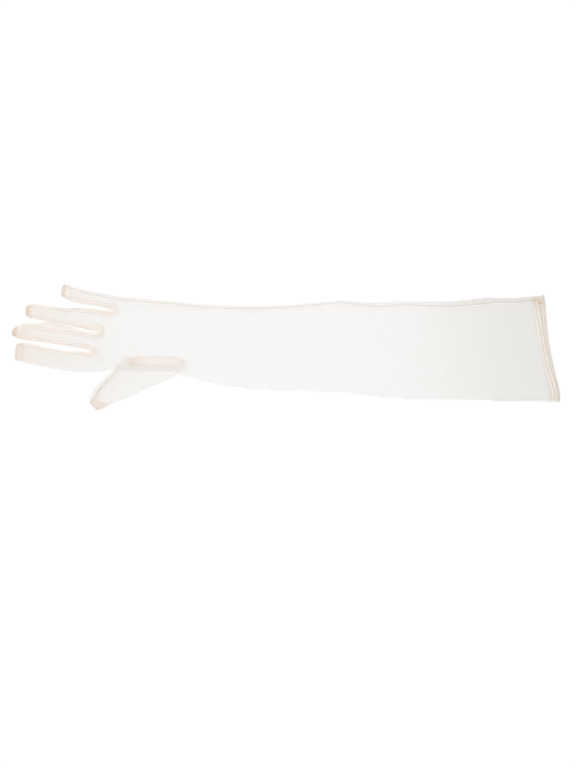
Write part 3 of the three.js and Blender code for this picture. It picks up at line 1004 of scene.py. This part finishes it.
# strips between the fingers, and the seams at both their edges
fourchette = {
    "thickness": 0.1, "overlap": 0.5, "shoulder": 3.0, "pucker": 0.1, "puckerLength": 5.5,
    "shares": (1.0, 0.84, 0.67, 0.5, 0.34, 0.2, 0.08), "turn": 17,
    "plainSpill": 0.12,      # where a strip doesn't spill, its fold still stands out by this much
    "spillSink": 0.35,       # and sinks by this share of what it spills
    "foldHaze": 0.45, "edgeHaze": (0.4, 2.2, 0.75), "crotchHaze": 0.12, "crotchReach": 8.0,
    "topLift": 0.14, "lowSink": 0.05, "lowest": 0.14, "underHaze": 0.8,
    "threadLift": 0.24, "stitchLift": 0.1, "cord": 0.07, "backCord": 0.05,
}


def stripPath(name):
    path = gapPaths[name]
    keep = ~inTips(path, -edges["tipOverlap"])
    return path[keep], rightOf(path)[keep], gapBands[name][keep]


def bandPlace(path, side, inset, isTop):
    # points at an inset from the edge of the gap, on the palm or on the back
    plan = path + side * inset[:, None]
    x, y = plan.T
    if isTop:
        z = overTop(x, y, inset, edges["gapWaist"], fourchette["shoulder"])
    else:
        z = underside(x, y, inset, edges["gapWaist"])
    return np.column_stack([plan, z])


def makeFourchette(name):
    path, side, band = stripPath(name)
    gap = gapLines[name]
    along = lengthsAlong(path)
    phase = 2 * math.pi * along / fourchette["puckerLength"] + 0.6 * np.sin(along / 9)
    fromCrotch = ((path - gap["crotch"]) ** 2).sum(axis=1)
    crotch = fourchette["crotchHaze"] * np.exp(-fromCrotch / fourchette["crotchReach"] ** 2)
    onLower = np.arange(len(path)) < np.argmin(fromCrotch)
    plain = fourchette["plainSpill"]
    spill = np.where(onLower, byX(path[:, 0], gap["spill"]), plain)
    insets = [band + fourchette["overlap"]] + [band * share for share in fourchette["shares"]]
    columns, sewnRows = [], []
    for inset in insets:
        line = bandPlace(path, side, inset, True)
        line[:, 2] += fourchette["topLift"] + fourchette["pucker"] * np.sin(phase) * np.minimum(inset, 1)
        columns.append(line)
        sewnRows.append(np.maximum(crotch, plateau(band - inset, *fourchette["edgeHaze"])))
    waist = edges["gapWaist"] - fourchette["spillSink"] * (spill - plain)
    columns.append(np.column_stack([path - side * spill[:, None], waist]))
    sewnRows.append(np.maximum(crotch, fourchette["foldHaze"]))
    for inset in insets[::-1]:
        line = bandPlace(path, side, inset, False)
        line[:, 2] = np.maximum(line[:, 2] - fourchette["lowSink"], fourchette["lowest"])
        columns.append(line)
        sewnRows.append(crotch * fourchette["underHaze"])
    strip = sheetFromColumns(f"fourchette_{name}_net", columns, fourchette["turn"], sewnRows)
    dressCloth(strip, fourchette["thickness"], fourchetteCloth, "fourchette_net", f"fourchette_{name}")

    top = bandPlace(path, side, band, True)
    top[:, 2] += fourchette["threadLift"]
    under = bandPlace(path, side, band, False)
    under[:, 2] = fourchette["threadLift"]
    sewn = [*seamThread("line", top, fourchette), cordAlong("backCord", under, fourchette["backCord"])]
    dress(joinPieces(f"fourchette_{name}_stitches", sewn), threads["fineThread"], "seam")


for gapName in gapLines:
    makeFourchette(gapName)
print("fourchettes are sewn in")


# the side seam, from the little finger to the cuff
sideSeam = {
    "allowanceX": [-228, -214, -198, -185, -171, -161, -150, -129, -97, -55, 0, 45, 75, 93, 104, 115,
                   125, 146, 168, 189, 210, 221, 231, 253, 276],
    "allowance": [2.8, 3.8, 4.2, 4.5, 4.5, 4.1, 4.5, 4, 4.3, 4.2, 3.6, 3.2, 3.8, 5, 6, 6, 5.4, 5.7,
                  6.3, 6.9, 7.6, 7, 6, 5.7, 5.6],
    "thickness": 0.1, "plyTop": 1.25, "plyLow": 0.4, "cord": 0.1, "slant": 12,
    "cordInset": 0.15, "cordLift": 0.35, "stitchLift": 0.16,
    "end": 276,
    "wrist": -60,        # the thread is paler on the hand's side of it
}


# loose cloth outside a seam, in columns by their share of its width, which bows and waves a little
allowance = {
    "shares": [1, 0.75, 0.5, 0.25, 0.08], "lowReach": 0.96, "inset": 0.2, "bow": 0.6,
    "wave": 0.14, "lowWave": 0.4, "smallWave": 0.06, "waveLengths": (6.1, 2.3, 7.7),
    "haze": 0.35, "hazeReach": 0.35, "turn": 31,
}


def sewnEdge(name, line, outward, width, low, high, middle):
    # two plies of allowance that part a little beyond the stitches, from rim to seam to rim
    shares, wave = allowance["shares"], allowance["wave"]
    longPhase, shortPhase, lowPhase = (lengthsAlong(line) / length for length in allowance["waveLengths"])
    columns = []

    def addColumn(share, reach, height, lift):
        plan = line + outward * (width * reach * share)[:, None]
        rise = share ** allowance["bow"]
        columns.append(np.column_stack([plan, middle + (height - middle) * rise + lift]))

    for share in shares:
        small = allowance["smallWave"] * share * np.sin(shortPhase)
        addColumn(share, 1, high, wave * share * np.sin(longPhase + share) + small)
    columns.append(np.column_stack([line - outward * allowance["inset"], middle]))
    for share in shares[::-1]:
        lift = wave * allowance["lowWave"] * share * np.sin(lowPhase + 2 + share)
        addColumn(share, allowance["lowReach"], low, lift)
    across = np.array([*shares, 0, *shares[::-1]])
    sewnRow = allowance["haze"] * np.maximum(plateau(across, 0, allowance["hazeReach"]), across == 1)
    return sheetFromRows(name, np.stack(columns, axis=1), allowance["turn"], sewn=[sewnRow] * len(line))


def makeSideSeam():
    keep = ~inTips(seamLine, -edges["tipOverlap"]) & (seamLine[:, 0] < sideSeam["end"])
    line, outward = seamLine[keep], -rightOf(seamLine)[keep]
    width = np.interp(line[:, 0], sideSeam["allowanceX"], sideSeam["allowance"])
    flat = np.ones(len(line))
    plies = sewnEdge(
        "side_seam_allowance", line, outward, width, sideSeam["plyLow"] * flat,
        sideSeam["plyTop"] * flat, (edges["seamWaist"] - 0.1) * flat,
    )
    dressCloth(plies, sideSeam["thickness"], allowanceCloth, "seam", "side_seam")
    top = atHeight(line - outward * sideSeam["cordInset"], edges["seamWaist"] + sideSeam["cordLift"])
    onHand = int((top[:, 0] < sideSeam["wrist"]).sum())
    # the arm's part in the darker tan thread, with painted shade of the seam's fold
    parts = (("hand", top[:onHand + 1], "softThread"), ("arm", top[onHand:], "tanShadeThread"))
    for part, points, kind in parts:
        sewn = seamThread("side", points, sideSeam)
        dress(joinPieces(f"side_seam_stitches_{part}", sewn), threads[kind], "seam")


makeSideSeam()
print("side seam is sewn")


# thumb: its hole with the ring seam, its tube and its seam allowance
thumb = {
    # the sewn side, the folded side, the height of its underside and its own height
    "seam": [(-150, -18.8), (-154, -22), (-157.6, -25.8), (-162.8, -31.4), (-169, -38.6),
             (-174.8, -44.2), (-179.2, -49.6), (-182.6, -55.2), (-184.4, -61.2), (-186.6, -66),
             (-188.4, -67.6), (-189.8, -68.7)],
    "fold": [(-105, -20), (-99.8, -23.8), (-98.8, -29), (-102.5, -36.4), (-112, -42.3),
             (-122.5, -47.4), (-134.5, -53.1), (-148, -60.7), (-163, -68), (-173, -73.4),
             (-178, -75.9), (-181.6, -77.9)],
    "base": [5.5, 5.6, 5.7, 5.3, 3, 1.2, 0.2, 0.1, 0.1, 0.1, 0.1, 0.1],
    "height": [2.6, 3.4, 3.7, 3.8, 3.9, 4, 4.1, 4.1, 3.9, 3.6, 3.2, 2.8],
    "thickness": 0.1, "shoulder": 3.2, "across": 44, "rows": 62, "rowPitch": 1.3, "waist": 0.34,
    "shoulderMost": 0.42,            # no wider than this share of the tube
    "ringRise": 13,                  # length over which the tube rises from the ring
    "waistFrom": 0.15, "waistRise": 9,
    "looseness": 0.35, "looseFrom": 9, "wavePitch": 1.7,
    "underStart": 7,                 # the row where its underside begins
    "topTurn": 35, "underTurn": -28,
    # sewn cloth by the seam and towards the tip; less thread where the tube lies on the palm, and painted
    # shade along the folded edge, drawn as more thread
    "seamHaze": (4, 7.5, 0.5), "wideHaze": (6, 24, 0.25), "tipHaze": (1, 15, 0.6),
    "crease": 0.62, "palmCrease": (-2, 2.5, 0.6), "foldShade": (0.3, 1.6, 0.25),
    "allowance": [(-190, 4), (-186, 4.8), (-180, 5), (-172, 5), (-162, 4.4), (-155, 4.6)],
    "plyLow": 0.45, "plyTop": 1.35,
    "cord": 0.18, "cordFrom": -161.5, "cordLift": 0.3, "stitchLift": 0.12, "slant": 12,
    "tip": 6,
}


def thumbRows(count):
    table = np.column_stack([thumb["seam"], thumb["fold"], thumb["base"], thumb["height"]])
    lines = smoothLine(table, 0.5)
    lines[:, 4] = np.maximum(lines[:, 4], 0.12)
    pick = np.linspace(0, len(lines) - 1, count).round().astype(int)
    return lines[pick]


def thumbSheet(lines, isTop, first=0):
    # one layer of the thumb, row by row from the ring to the tip
    share = easedSteps(thumb["across"])
    rows = []
    for i, (seamX, seamY, foldX, foldY, base, height) in enumerate(lines):
        a, b = np.array([seamX, seamY]), np.array([foldX, foldY])
        width = np.linalg.norm(b - a)
        plan = a + share[:, None] * (b - a)
        side = np.minimum(share, 1 - share) * width
        fromRing = (i + first) * thumb["rowPitch"]
        waist = thumb["waist"] * height * min(1, thumb["waistFrom"] + fromRing / thumb["waistRise"])
        reach = min(thumb["shoulder"], thumb["shoulderMost"] * width)
        if isTop:
            near = np.clip(side / reach, 0, 1)
            grown = 1 - plateau(fromRing, 0, thumb["ringRise"])
            z = waist + (height - waist) * grown * rounded(near)
            loose = thumb["looseness"] * np.clip(side / thumb["looseFrom"], 0, 1)
            z += loose * ripple(*(plan * thumb["wavePitch"]).T)
        else:
            near = np.clip(side / max(edges["footShare"] * height, 0.1), 0, 1)
            z = waist * (1 - rounded(near))
        rows.append(np.column_stack([plan, base + z]))
    return rows


def makeThumb():
    lines = thumbRows(thumb["rows"])
    middles = (lines[:, :2] + lines[:, 2:4]) / 2
    toEnd = lengthsAlong(middles[::-1])[::-1]
    body = toEnd > thumb["tip"] - edges["tipOverlap"]
    start = thumb["underStart"]
    tube = lines[body]
    top = sheetFromRows("thumbTop", thumbSheet(tube, True), thumb["topTurn"])
    low = sheetFromRows("thumbUnder", thumbSheet(tube[start:], False, start), thumb["underTurn"])
    share = easedSteps(thumb["across"])
    for sheet, first in ((top, 0), (low, start)):
        rows = tube[first:]
        width = np.linalg.norm(rows[:, :2] - rows[:, 2:4], axis=1)
        fromSeam = width[:, None] * share
        toTip = toEnd[body][first:, None] - thumb["tip"]
        haze = np.maximum(plateau(fromSeam, *thumb["seamHaze"]), plateau(fromSeam, *thumb["wideHaze"]))
        markCloth(sheet, "sewn", np.maximum(haze, plateau(toTip, *thumb["tipHaze"])))
        x, y = vertexPlaces(sheet)[:, :2].T
        onPalm = plateau(byX(x, armLines["fold"]) - y, *thumb["palmCrease"]).reshape(fromSeam.shape)
        # painted shade along the folded side, on top of the thumb's denser net
        atFold = plateau(width[:, None] * (1 - share), *thumb["foldShade"])
        markCloth(sheet, "crease", thumb["crease"] - onPalm + atFold)
    whole = joinPieces("thumb_net", [top, low])
    weld(whole, 0.05)
    dressCloth(whole, thumb["thickness"], thumbCloth, "net", "thumb_piece")

    # allowance outside the sewn side, square to it
    inner = lines[2:-2]
    line = inner[:, :2]
    outward = unit(line - inner[:, 2:4])
    evenOut(outward)
    square = rightOf(line, 0)
    square *= np.sign((square * outward).sum(axis=1))[:, None]
    middle = inner[:, 4] + thumb["waist"] * inner[:, 5]
    plies = sewnEdge(
        "thumb_seam_allowance", line, square, byX(line[:, 0], thumb["allowance"]),
        inner[:, 4] + thumb["plyLow"], inner[:, 4] + thumb["plyTop"], middle,
    )
    dressCloth(plies, sideSeam["thickness"], thumbAllowanceCloth, "seam", "thumb_side_seam")
    top = np.column_stack([line, middle + thumb["cordLift"]])[line[:, 0] < thumb["cordFrom"]]
    sewn = seamThread("thumb", top, thumb)
    # the darker tan thread paints the shade in the fold of the thumb's seam
    dress(joinPieces("thumb_seam_stitches", sewn), threads["tanShadeThread"], "seam")


thumbRing = {
    # distance out from the oval and height, from the palm over the seam and down into the thumb
    "band": ((0.9, 5.35), (0.4, 5.6), (-0.6, 5.7), (-1.4, 5.66), (-2.1, 5.4), (-2.6, 4.9)),
    "thickness": 0.1, "bandTurn": 12, "haze": 0.31, "rightHaze": (3, 12, 0.08),
    # the thumb's own allowance lies flat inside, thickest at its two ends and its lower side
    "flapColumns": 9, "flapRows": 70, "flapHeight": 6.1, "flapSlope": 0.3, "flapTurn": 40,
    "flapInset": (0.8, 1), "flapLeast": 0.3, "flapWave": 0.12, "flapWaveLength": 3.1,
    "flapHaze": 0.1, "lowerHaze": 0.16, "leftHaze": (-19, -6, 0.72), "endHaze": (-26, -16, 0.6),
    "rows": (("outerRing", 0.2, 5.78), ("innerRing", -2.0, 5.62)), "cord": 0.08, "stitchLift": 0.12,
}


def makeThumbRing():
    hole = trank["oval"]
    columns, sewnRows = [], []
    for grow, z in thumbRing["band"]:
        line = closed(ovalLine(grow))
        columns.append(atHeight(line, z))
        toRight = hole["halfLength"] - (line[:, 0] - hole["x"])
        sewnRows.append(thumbRing["haze"] + plateau(toRight, *thumbRing["rightHaze"]))
    ring = sheetFromColumns("thumb_ring_band", columns, thumbRing["bandTurn"], sewnRows)
    weld(ring)
    dressCloth(ring, thumbRing["thickness"], ringCloth, "seam", "thumb_ring_seam")

    endInset, sideInset = thumbRing["flapInset"]
    u = np.linspace(-1, 1, thumbRing["flapRows"]) * (hole["halfLength"] - endInset)
    power = hole["square"]
    half = hole["halfWidth"] * (1 - np.abs(u / hole["halfLength"]) ** (2 / power)) ** (power / 2)
    c, t = math.cos(hole["turn"]), math.sin(hole["turn"])
    ends = np.maximum(plateau(u, *thumbRing["leftHaze"]), plateau(-u, *thumbRing["endHaze"]))
    columns, sewnRows = [], []
    for part in np.linspace(-1, 1, thumbRing["flapColumns"]):
        v = part * np.maximum(half - sideInset, thumbRing["flapLeast"])
        wave = thumbRing["flapWave"] * np.sin(u / thumbRing["flapWaveLength"] + part * 2)
        z = thumbRing["flapHeight"] - thumbRing["flapSlope"] * part + wave
        columns.append(np.column_stack([hole["x"] + u * c - v * t, hole["y"] + u * t + v * c, z]))
        lower = thumbRing["lowerHaze"] * (part < -0.3)
        sewnRows.append(np.maximum(thumbRing["flapHaze"] + lower, ends))
    flap = sheetFromColumns("thumb_ring_allowance", columns, thumbRing["flapTurn"], sewnRows)
    dressCloth(flap, thumbRing["thickness"], ringCloth, "seam")

    sewn = []
    for name, grow, z in thumbRing["rows"]:
        points = atHeight(ovalLine(grow), z)
        sewn += seamThread(name, points, thumbRing, closed(points), isRing=True)
    dress(joinPieces("thumb_ring_stitches", sewn), threads["softThread"], "seam")


makeThumbRing()
makeThumb()
print("thumb is set into its ring")


# cuff hem with its two rows of stitches
hem = {
    # X of the hem's start, its two rows of stitches and its mouth on the upper side, by Y
    "start": [(-70, 263.4), (-35, 264), (-5, 262.8), (26, 262), (50, 265), (62, 266)],
    "first": [(-67, 269.6), (-61, 270.1), (-54, 269.9), (-46.5, 268.8), (-39, 267.6), (-32, 267.4),
              (-17.5, 266.8), (-3, 266.9), (11.8, 267.2), (26.5, 266.9), (33.7, 266.9), (41, 267.6),
              (47.5, 270.4)],
    "second": [(-67, 273), (-54, 273), (-46.5, 272.5), (-39, 270.8), (-24.5, 270.7), (-10, 270.1),
               (4.5, 270.1), (19, 270.4), (33.7, 271), (41, 271.6), (47.5, 272.4)],
    "mouth": [(-69.3, 274.7), (-54, 275.2), (-40.8, 274), (-23.1, 273.8),
              (-7.5, 273.8), (7.2, 273.8), (25.9, 275.4), (45, 277.2), (57.4, 278.9), (62, 280.4)],
    "underShift": 2.9,       # the lower side reaches this much further out
    "fold": -68.2,
    "seam": (58.4, 61.9),    # Y of the sewn side where the hem starts and at the mouth
    "foldWaist": 2.3, "seamWaist": 1.3, "height": 6.6, "shoulder": 18, "foot": 4.6,
    "rise": 0.2, "lowest": 0.14, "thickness": 0.16, "across": 72, "rows": 15, "turn": 45,
    # sewn cloth: all over, added past the first and the second row of stitches, and at the mouth
    "haze": 0.1, "firstHaze": 0.08, "secondHaze": 0.4, "mouthHaze": (0.4, 2.4, 0.33),
    # painted shade along the turned edge at the mouth
    "mouthShade": (0.6, 1.9),
    "cord": 0.16, "cordLift": 0.16, "backCord": 0.03, "backDrop": 0.1, "backLowest": 0.2,
    "stitchStep": 1.5, "stitchLift": 0.1, "slant": 26,
}


def hemHeights(y, isTop, end):
    # u runs from the folded side to the sewn side
    u = (y - hem["fold"]) / (end - hem["fold"])
    waist = hem["foldWaist"] * (1 - u) + hem["seamWaist"] * u
    distance = np.minimum(y - hem["fold"], end - y)
    if isTop:
        rise = rounded(np.clip(distance / hem["shoulder"], 0, 1))
        z = waist + (hem["height"] - waist) * rise + hem["rise"]
        return z + np.clip(distance / 9, 0, 1) ** 2 * ripple(270, y)
    fall = rounded(np.clip(distance / hem["foot"], 0, 1))
    return hem["lowest"] + (waist + hem["rise"] - hem["lowest"]) * (1 - fall)


def hemPoints(x, y, isTop, end=hem["seam"][1]):
    z = hemHeights(y, isTop, end)
    # the shift to the lower side grows from the waist to the floor
    top = hemHeights(y, True, end)
    drop = np.clip((top - z) / hem["height"], 0, 1)
    return np.column_stack([x + hem["underShift"] * drop, y, z])


def roundTube(top, low):
    # one row round a tube, from its upper and its lower side
    return np.concatenate([top, low[::-1][1:-1], top[:1]])


def makeHem():
    rows, sewnRows, mouthShadeRows = [], [], []
    u = easedSteps(hem["across"])
    for share in np.linspace(0, 1, hem["rows"]):
        end = hem["seam"][0] + share * (hem["seam"][1] - hem["seam"][0])
        y = hem["fold"] + u * (end - hem["fold"])
        start, first, second, mouth = (byX(y, hem[line]) for line in ("start", "first", "second", "mouth"))
        x = start + share * (mouth - start)
        rows.append(roundTube(hemPoints(x, y, True, end), hemPoints(x, y, False, end)))
        sewn = hem["haze"] + hem["firstHaze"] * (1 - plateau(x - first, -0.6, 0.4))
        sewn += hem["secondHaze"] * (1 - plateau(x - second, -0.4, 0.6))
        sewn += plateau(mouth - x, *hem["mouthHaze"])
        # painted shade along the turned edge at the mouth, drawn as extra thread
        crease = plateau(mouth - x, *hem["mouthShade"])
        sewnRows.append(roundTube(sewn, sewn))
        mouthShadeRows.append(roundTube(crease, crease))
    band = sheetFromRows("cuff_hem_cloth", rows, hem["turn"], sewn=sewnRows, crease=mouthShadeRows)
    weld(band)
    dressCloth(band, hem["thickness"], hemCloth, "hem", "cuff_hem")

    sewn = []
    for table in (hem["first"], hem["second"]):
        reach = np.linspace(hem["fold"] + 0.6, table[-1][0], 90)
        x = byX(reach, smoothLine(table, 1.0))
        top = hemPoints(x, reach, True) + (0, 0, hem["cordLift"])
        sewn += seamThread("hem", top, hem, evenSteps(top, hem["stitchStep"]))
        low = hemPoints(x, reach, False)
        low[:, 2] = np.maximum(low[:, 2] - hem["backDrop"], hem["backLowest"])
        sewn.append(cordAlong("hemCordBack", low, hem["backCord"]))
    dress(joinPieces("cuff_hem_stitches", sewn), threads["cuffThread"], "hem")


corner = {
    # the hem's end and the side seam's end, folded over each other and tied off
    "rows": [[(264.4, 54.4, 2.6), (266.4, 50.8, 3.6)], [(268, 57.6, 2.4), (270, 49.4, 4.2)],
             [(273, 59.4, 2), (272.6, 48.6, 4.5)], [(277.4, 61, 1.7), (276.4, 47.8, 4)],
             [(280.2, 61.7, 1.5), (279.2, 50.6, 3.2)]],
    "across": 12, "bulge": 0.9, "pleat": 0.22, "pleatTurn": 15, "pleatDrift": 0.35,
    "turn": 30, "thickness": 0.2,
    "haze": 0.05, "innerHaze": 0.75, "innerShare": (0.3, 0.75), "innerX": (274, 279),
    # a small tied knot: three turns of thread with a short end
    "knot": (272.4, 48.6, 5), "knotTurns": 3, "knotRadius": 0.8, "knotWave": 2.5,
    "knotHeight": 0.45, "cord": 0.2,
    "tail": [(0, 0, 0.1), (-1.2, 0.9, 0.2), (-2.6, 1.5, -0.1), (-3.9, 1.9, -0.4)], "tailCord": 0.1,
    # threads and pinched folds that run out from the knot
    "creases": [[(272.4, 48.6, 4.9), (274.6, 46, 5.2), (276.8, 43, 5.3), (278.2, 40.8, 5.2)],
                [(278.9, 50.2, 3.6), (276.6, 47.4, 4.8), (274.4, 44.6, 5.3), (272.6, 41.6, 5.7)],
                [(272.4, 48.8, 5), (275.2, 53, 4.3), (277.8, 57.4, 3.2), (279.6, 60.8, 2.1)],
                [(272.2, 48.8, 5), (269.4, 51.6, 4.9), (266.8, 53.4, 4.2), (263.8, 54.2, 3.2)]],
    "creaseCord": 0.13,
}


def makeCorner():
    lines = smoothLine(np.array(corner["rows"]).reshape(-1, 6), 1.0)
    share = np.linspace(0, 1, corner["across"])
    rows, sewnRows = [], []
    for i, line in enumerate(lines):
        row = line[:3] + share[:, None] * (line[3:] - line[:3])
        row[:, 2] += corner["bulge"] * np.sin(share * math.pi)
        row[:, 2] += corner["pleat"] * np.cos(share * corner["pleatTurn"] + i * corner["pleatDrift"])
        rows.append(row)
        inner = plateau(1 - share, *corner["innerShare"]) * plateau(row[:, 0], *corner["innerX"])
        sewnRows.append(corner["haze"] + corner["innerHaze"] * inner)
    fold = sheetFromRows("cuff_corner_fold", rows, corner["turn"], sewn=sewnRows)
    dressCloth(fold, corner["thickness"], cornerCloth, "hem")

    turn = np.linspace(0, 2 * math.pi * corner["knotTurns"], 90)
    wave = turn * corner["knotWave"]
    radius = corner["knotRadius"] * (0.75 + 0.25 * np.cos(wave))
    rise = corner["knotHeight"] * np.sin(wave) + turn * 0.02
    loops = np.column_stack([radius * np.cos(turn), radius * np.sin(turn), rise]) + corner["knot"]
    tail = smoothLine(np.array(corner["knot"]) + corner["tail"], 0.5)
    pieces = [cordAlong("knotLoops", loops, corner["cord"]), cordAlong("knotTail", tail, corner["tailCord"])]
    for crease in corner["creases"]:
        pieces.append(cordAlong("foldShadeAndDensityThread", smoothLine(crease, 0.6), corner["creaseCord"]))
    dress(joinPieces("cuff_corner_knot", pieces), threads["knotThread"], "hem")


makeHem()
makeCorner()
print("cuff hem is stitched")


# gathered cloth at the fingertips
gather = {
    "rows": 22, "across": 34, "length": 8.8, "pleats": 5.5, "depth": 0.2, "thickness": 0.14,
    "shoulder": 2.6, "foot": 2.0, "waist": 1.35, "lowest": 0.12, "pull": 0.3,
    "topTurn": 25, "underTurn": -14, "rimHaze": (0.4, 1.6, 0.16), "valleyHaze": 0.16,
    "hazeFade": (2.4, 8.4), "pullFade": 2.5, "pleatPlace": 2.0, "pleatFade": 3.2, "pleatLift": 0.18,
    "cord": 0.06, "line": 0.04, "cordLift": 0.15, "pitch": 1.5, "slant": 60, "cordRows": 12,
    "cordStep": 0.8, "stitchLift": 0.16, "underPleat": 0.3,
    "lined": ("index", "thumb"),     # here the end of the turned-in cloth shows as a line
    "shorter": {"index": 1.3, "middle": 0.3, "ring": 1.1, "little": 0.8, "thumb": 0.3},
    "heightPlaces": (0, 3, 8),       # distances in from the end of the finger
    "heights": {"index": (2.6, 3.2, 3.9), "middle": (2.6, 3.2, 3.9), "ring": (2.6, 3.3, 4.0),
                "little": (2.5, 3.1, 3.9), "thumb": (2.6, 3.1, 3.7)},
    "density": {"index": 0.48, "middle": 0.86, "ring": 0.8, "little": 0.64, "thumb": 0.5},
}


def dressTip(finger, low, high):
    # rows from the end of the finger inward, each from its low side to its high side
    v = np.sin(np.linspace(-1, 1, gather["across"]) * math.pi / 2)
    shorter, waist = gather["shorter"][finger], gather["waist"]
    distances = np.linspace(shorter, gather["length"], gather["rows"])
    tops, lows, sewnRows = [], [], []
    for s, (ax, ay, bx, by) in zip(distances - shorter, rowsBetween(low, high, distances)):
        a, b = np.array([ax, ay]), np.array([bx, by])
        width = np.linalg.norm(b - a)
        drawn = gather["pull"] * math.exp(-s / gather["pullFade"]) * (b - a) / width
        a, b = a + drawn, b - drawn
        plan = a + ((1 + v) / 2)[:, None] * (b - a)
        distance = np.minimum((1 - np.abs(v)) * width / 2, s)
        height = np.interp(s, gather["heightPlaces"], gather["heights"][finger])
        rise = rounded(np.clip(distance / gather["shoulder"], 0, 1))
        fall = rounded(np.clip(distance / gather["foot"], 0, 1))
        fade = math.exp(-((s - gather["pleatPlace"]) / gather["pleatFade"]) ** 2)
        pleat = gather["depth"] * fade * np.cos(v * math.pi * gather["pleats"] + 0.5 * math.sin(s))
        top = waist + (height - waist) * rise + (gather["pleatLift"] + pleat) * rise
        bottom = waist + (gather["lowest"] - waist) * fall + gather["underPleat"] * np.abs(pleat) * fall
        tops.append(np.column_stack([plan, top]))
        lows.append(np.column_stack([plan, bottom]))
        rim = plateau(distance, *gather["rimHaze"])
        valley = gather["valleyHaze"] * (pleat < -0.3 * gather["depth"])
        sewnRows.append((gather["density"][finger] + valley + rim) * plateau(s, *gather["hazeFade"]))
    cap = joinPieces(f"{finger}_tip_cloth", [
        sheetFromRows("tipTop", tops, gather["topTurn"], sewn=sewnRows),
        sheetFromRows("tipUnder", lows, gather["underTurn"], sewn=sewnRows),
    ])
    weld(cap, 0.04)
    dressCloth(cap, gather["thickness"], gatherCloth, "gathered_tip", f"{finger}_tip_seam")

    lowSide, highSide = (np.array([row[end] for row in tops[:gather["cordRows"]]]) for end in (0, -1))
    rim = evenSteps(np.vstack([lowSide[::-1], tops[0][1:-1], highSide]), gather["cordStep"])
    rim += (0, 0, gather["cordLift"])
    sewn = seamThread("tip", rim, gather)
    if finger in gather["lined"]:
        cut = evenSteps(tops[-3][1:-1], gather["cordStep"]) + (0, 0, gather["cordLift"])
        sewn.append(cordAlong("tipLine", cut, gather["line"]))
    # the darker tan thread paints the shade in the gathered rim's fold
    dress(joinPieces(f"{finger}_tip_stitches", sewn), threads["tanShadeThread"], "gathered_tip")


for fingerName, lines in fingerLines.items():
    dressTip(fingerName, np.array(lines["low"]), np.array(lines["high"]))
dressTip("thumb", np.array(thumb["fold"][::-1][:6]), np.array(thumb["seam"][::-1][:6]))
print("fingertips are gathered")
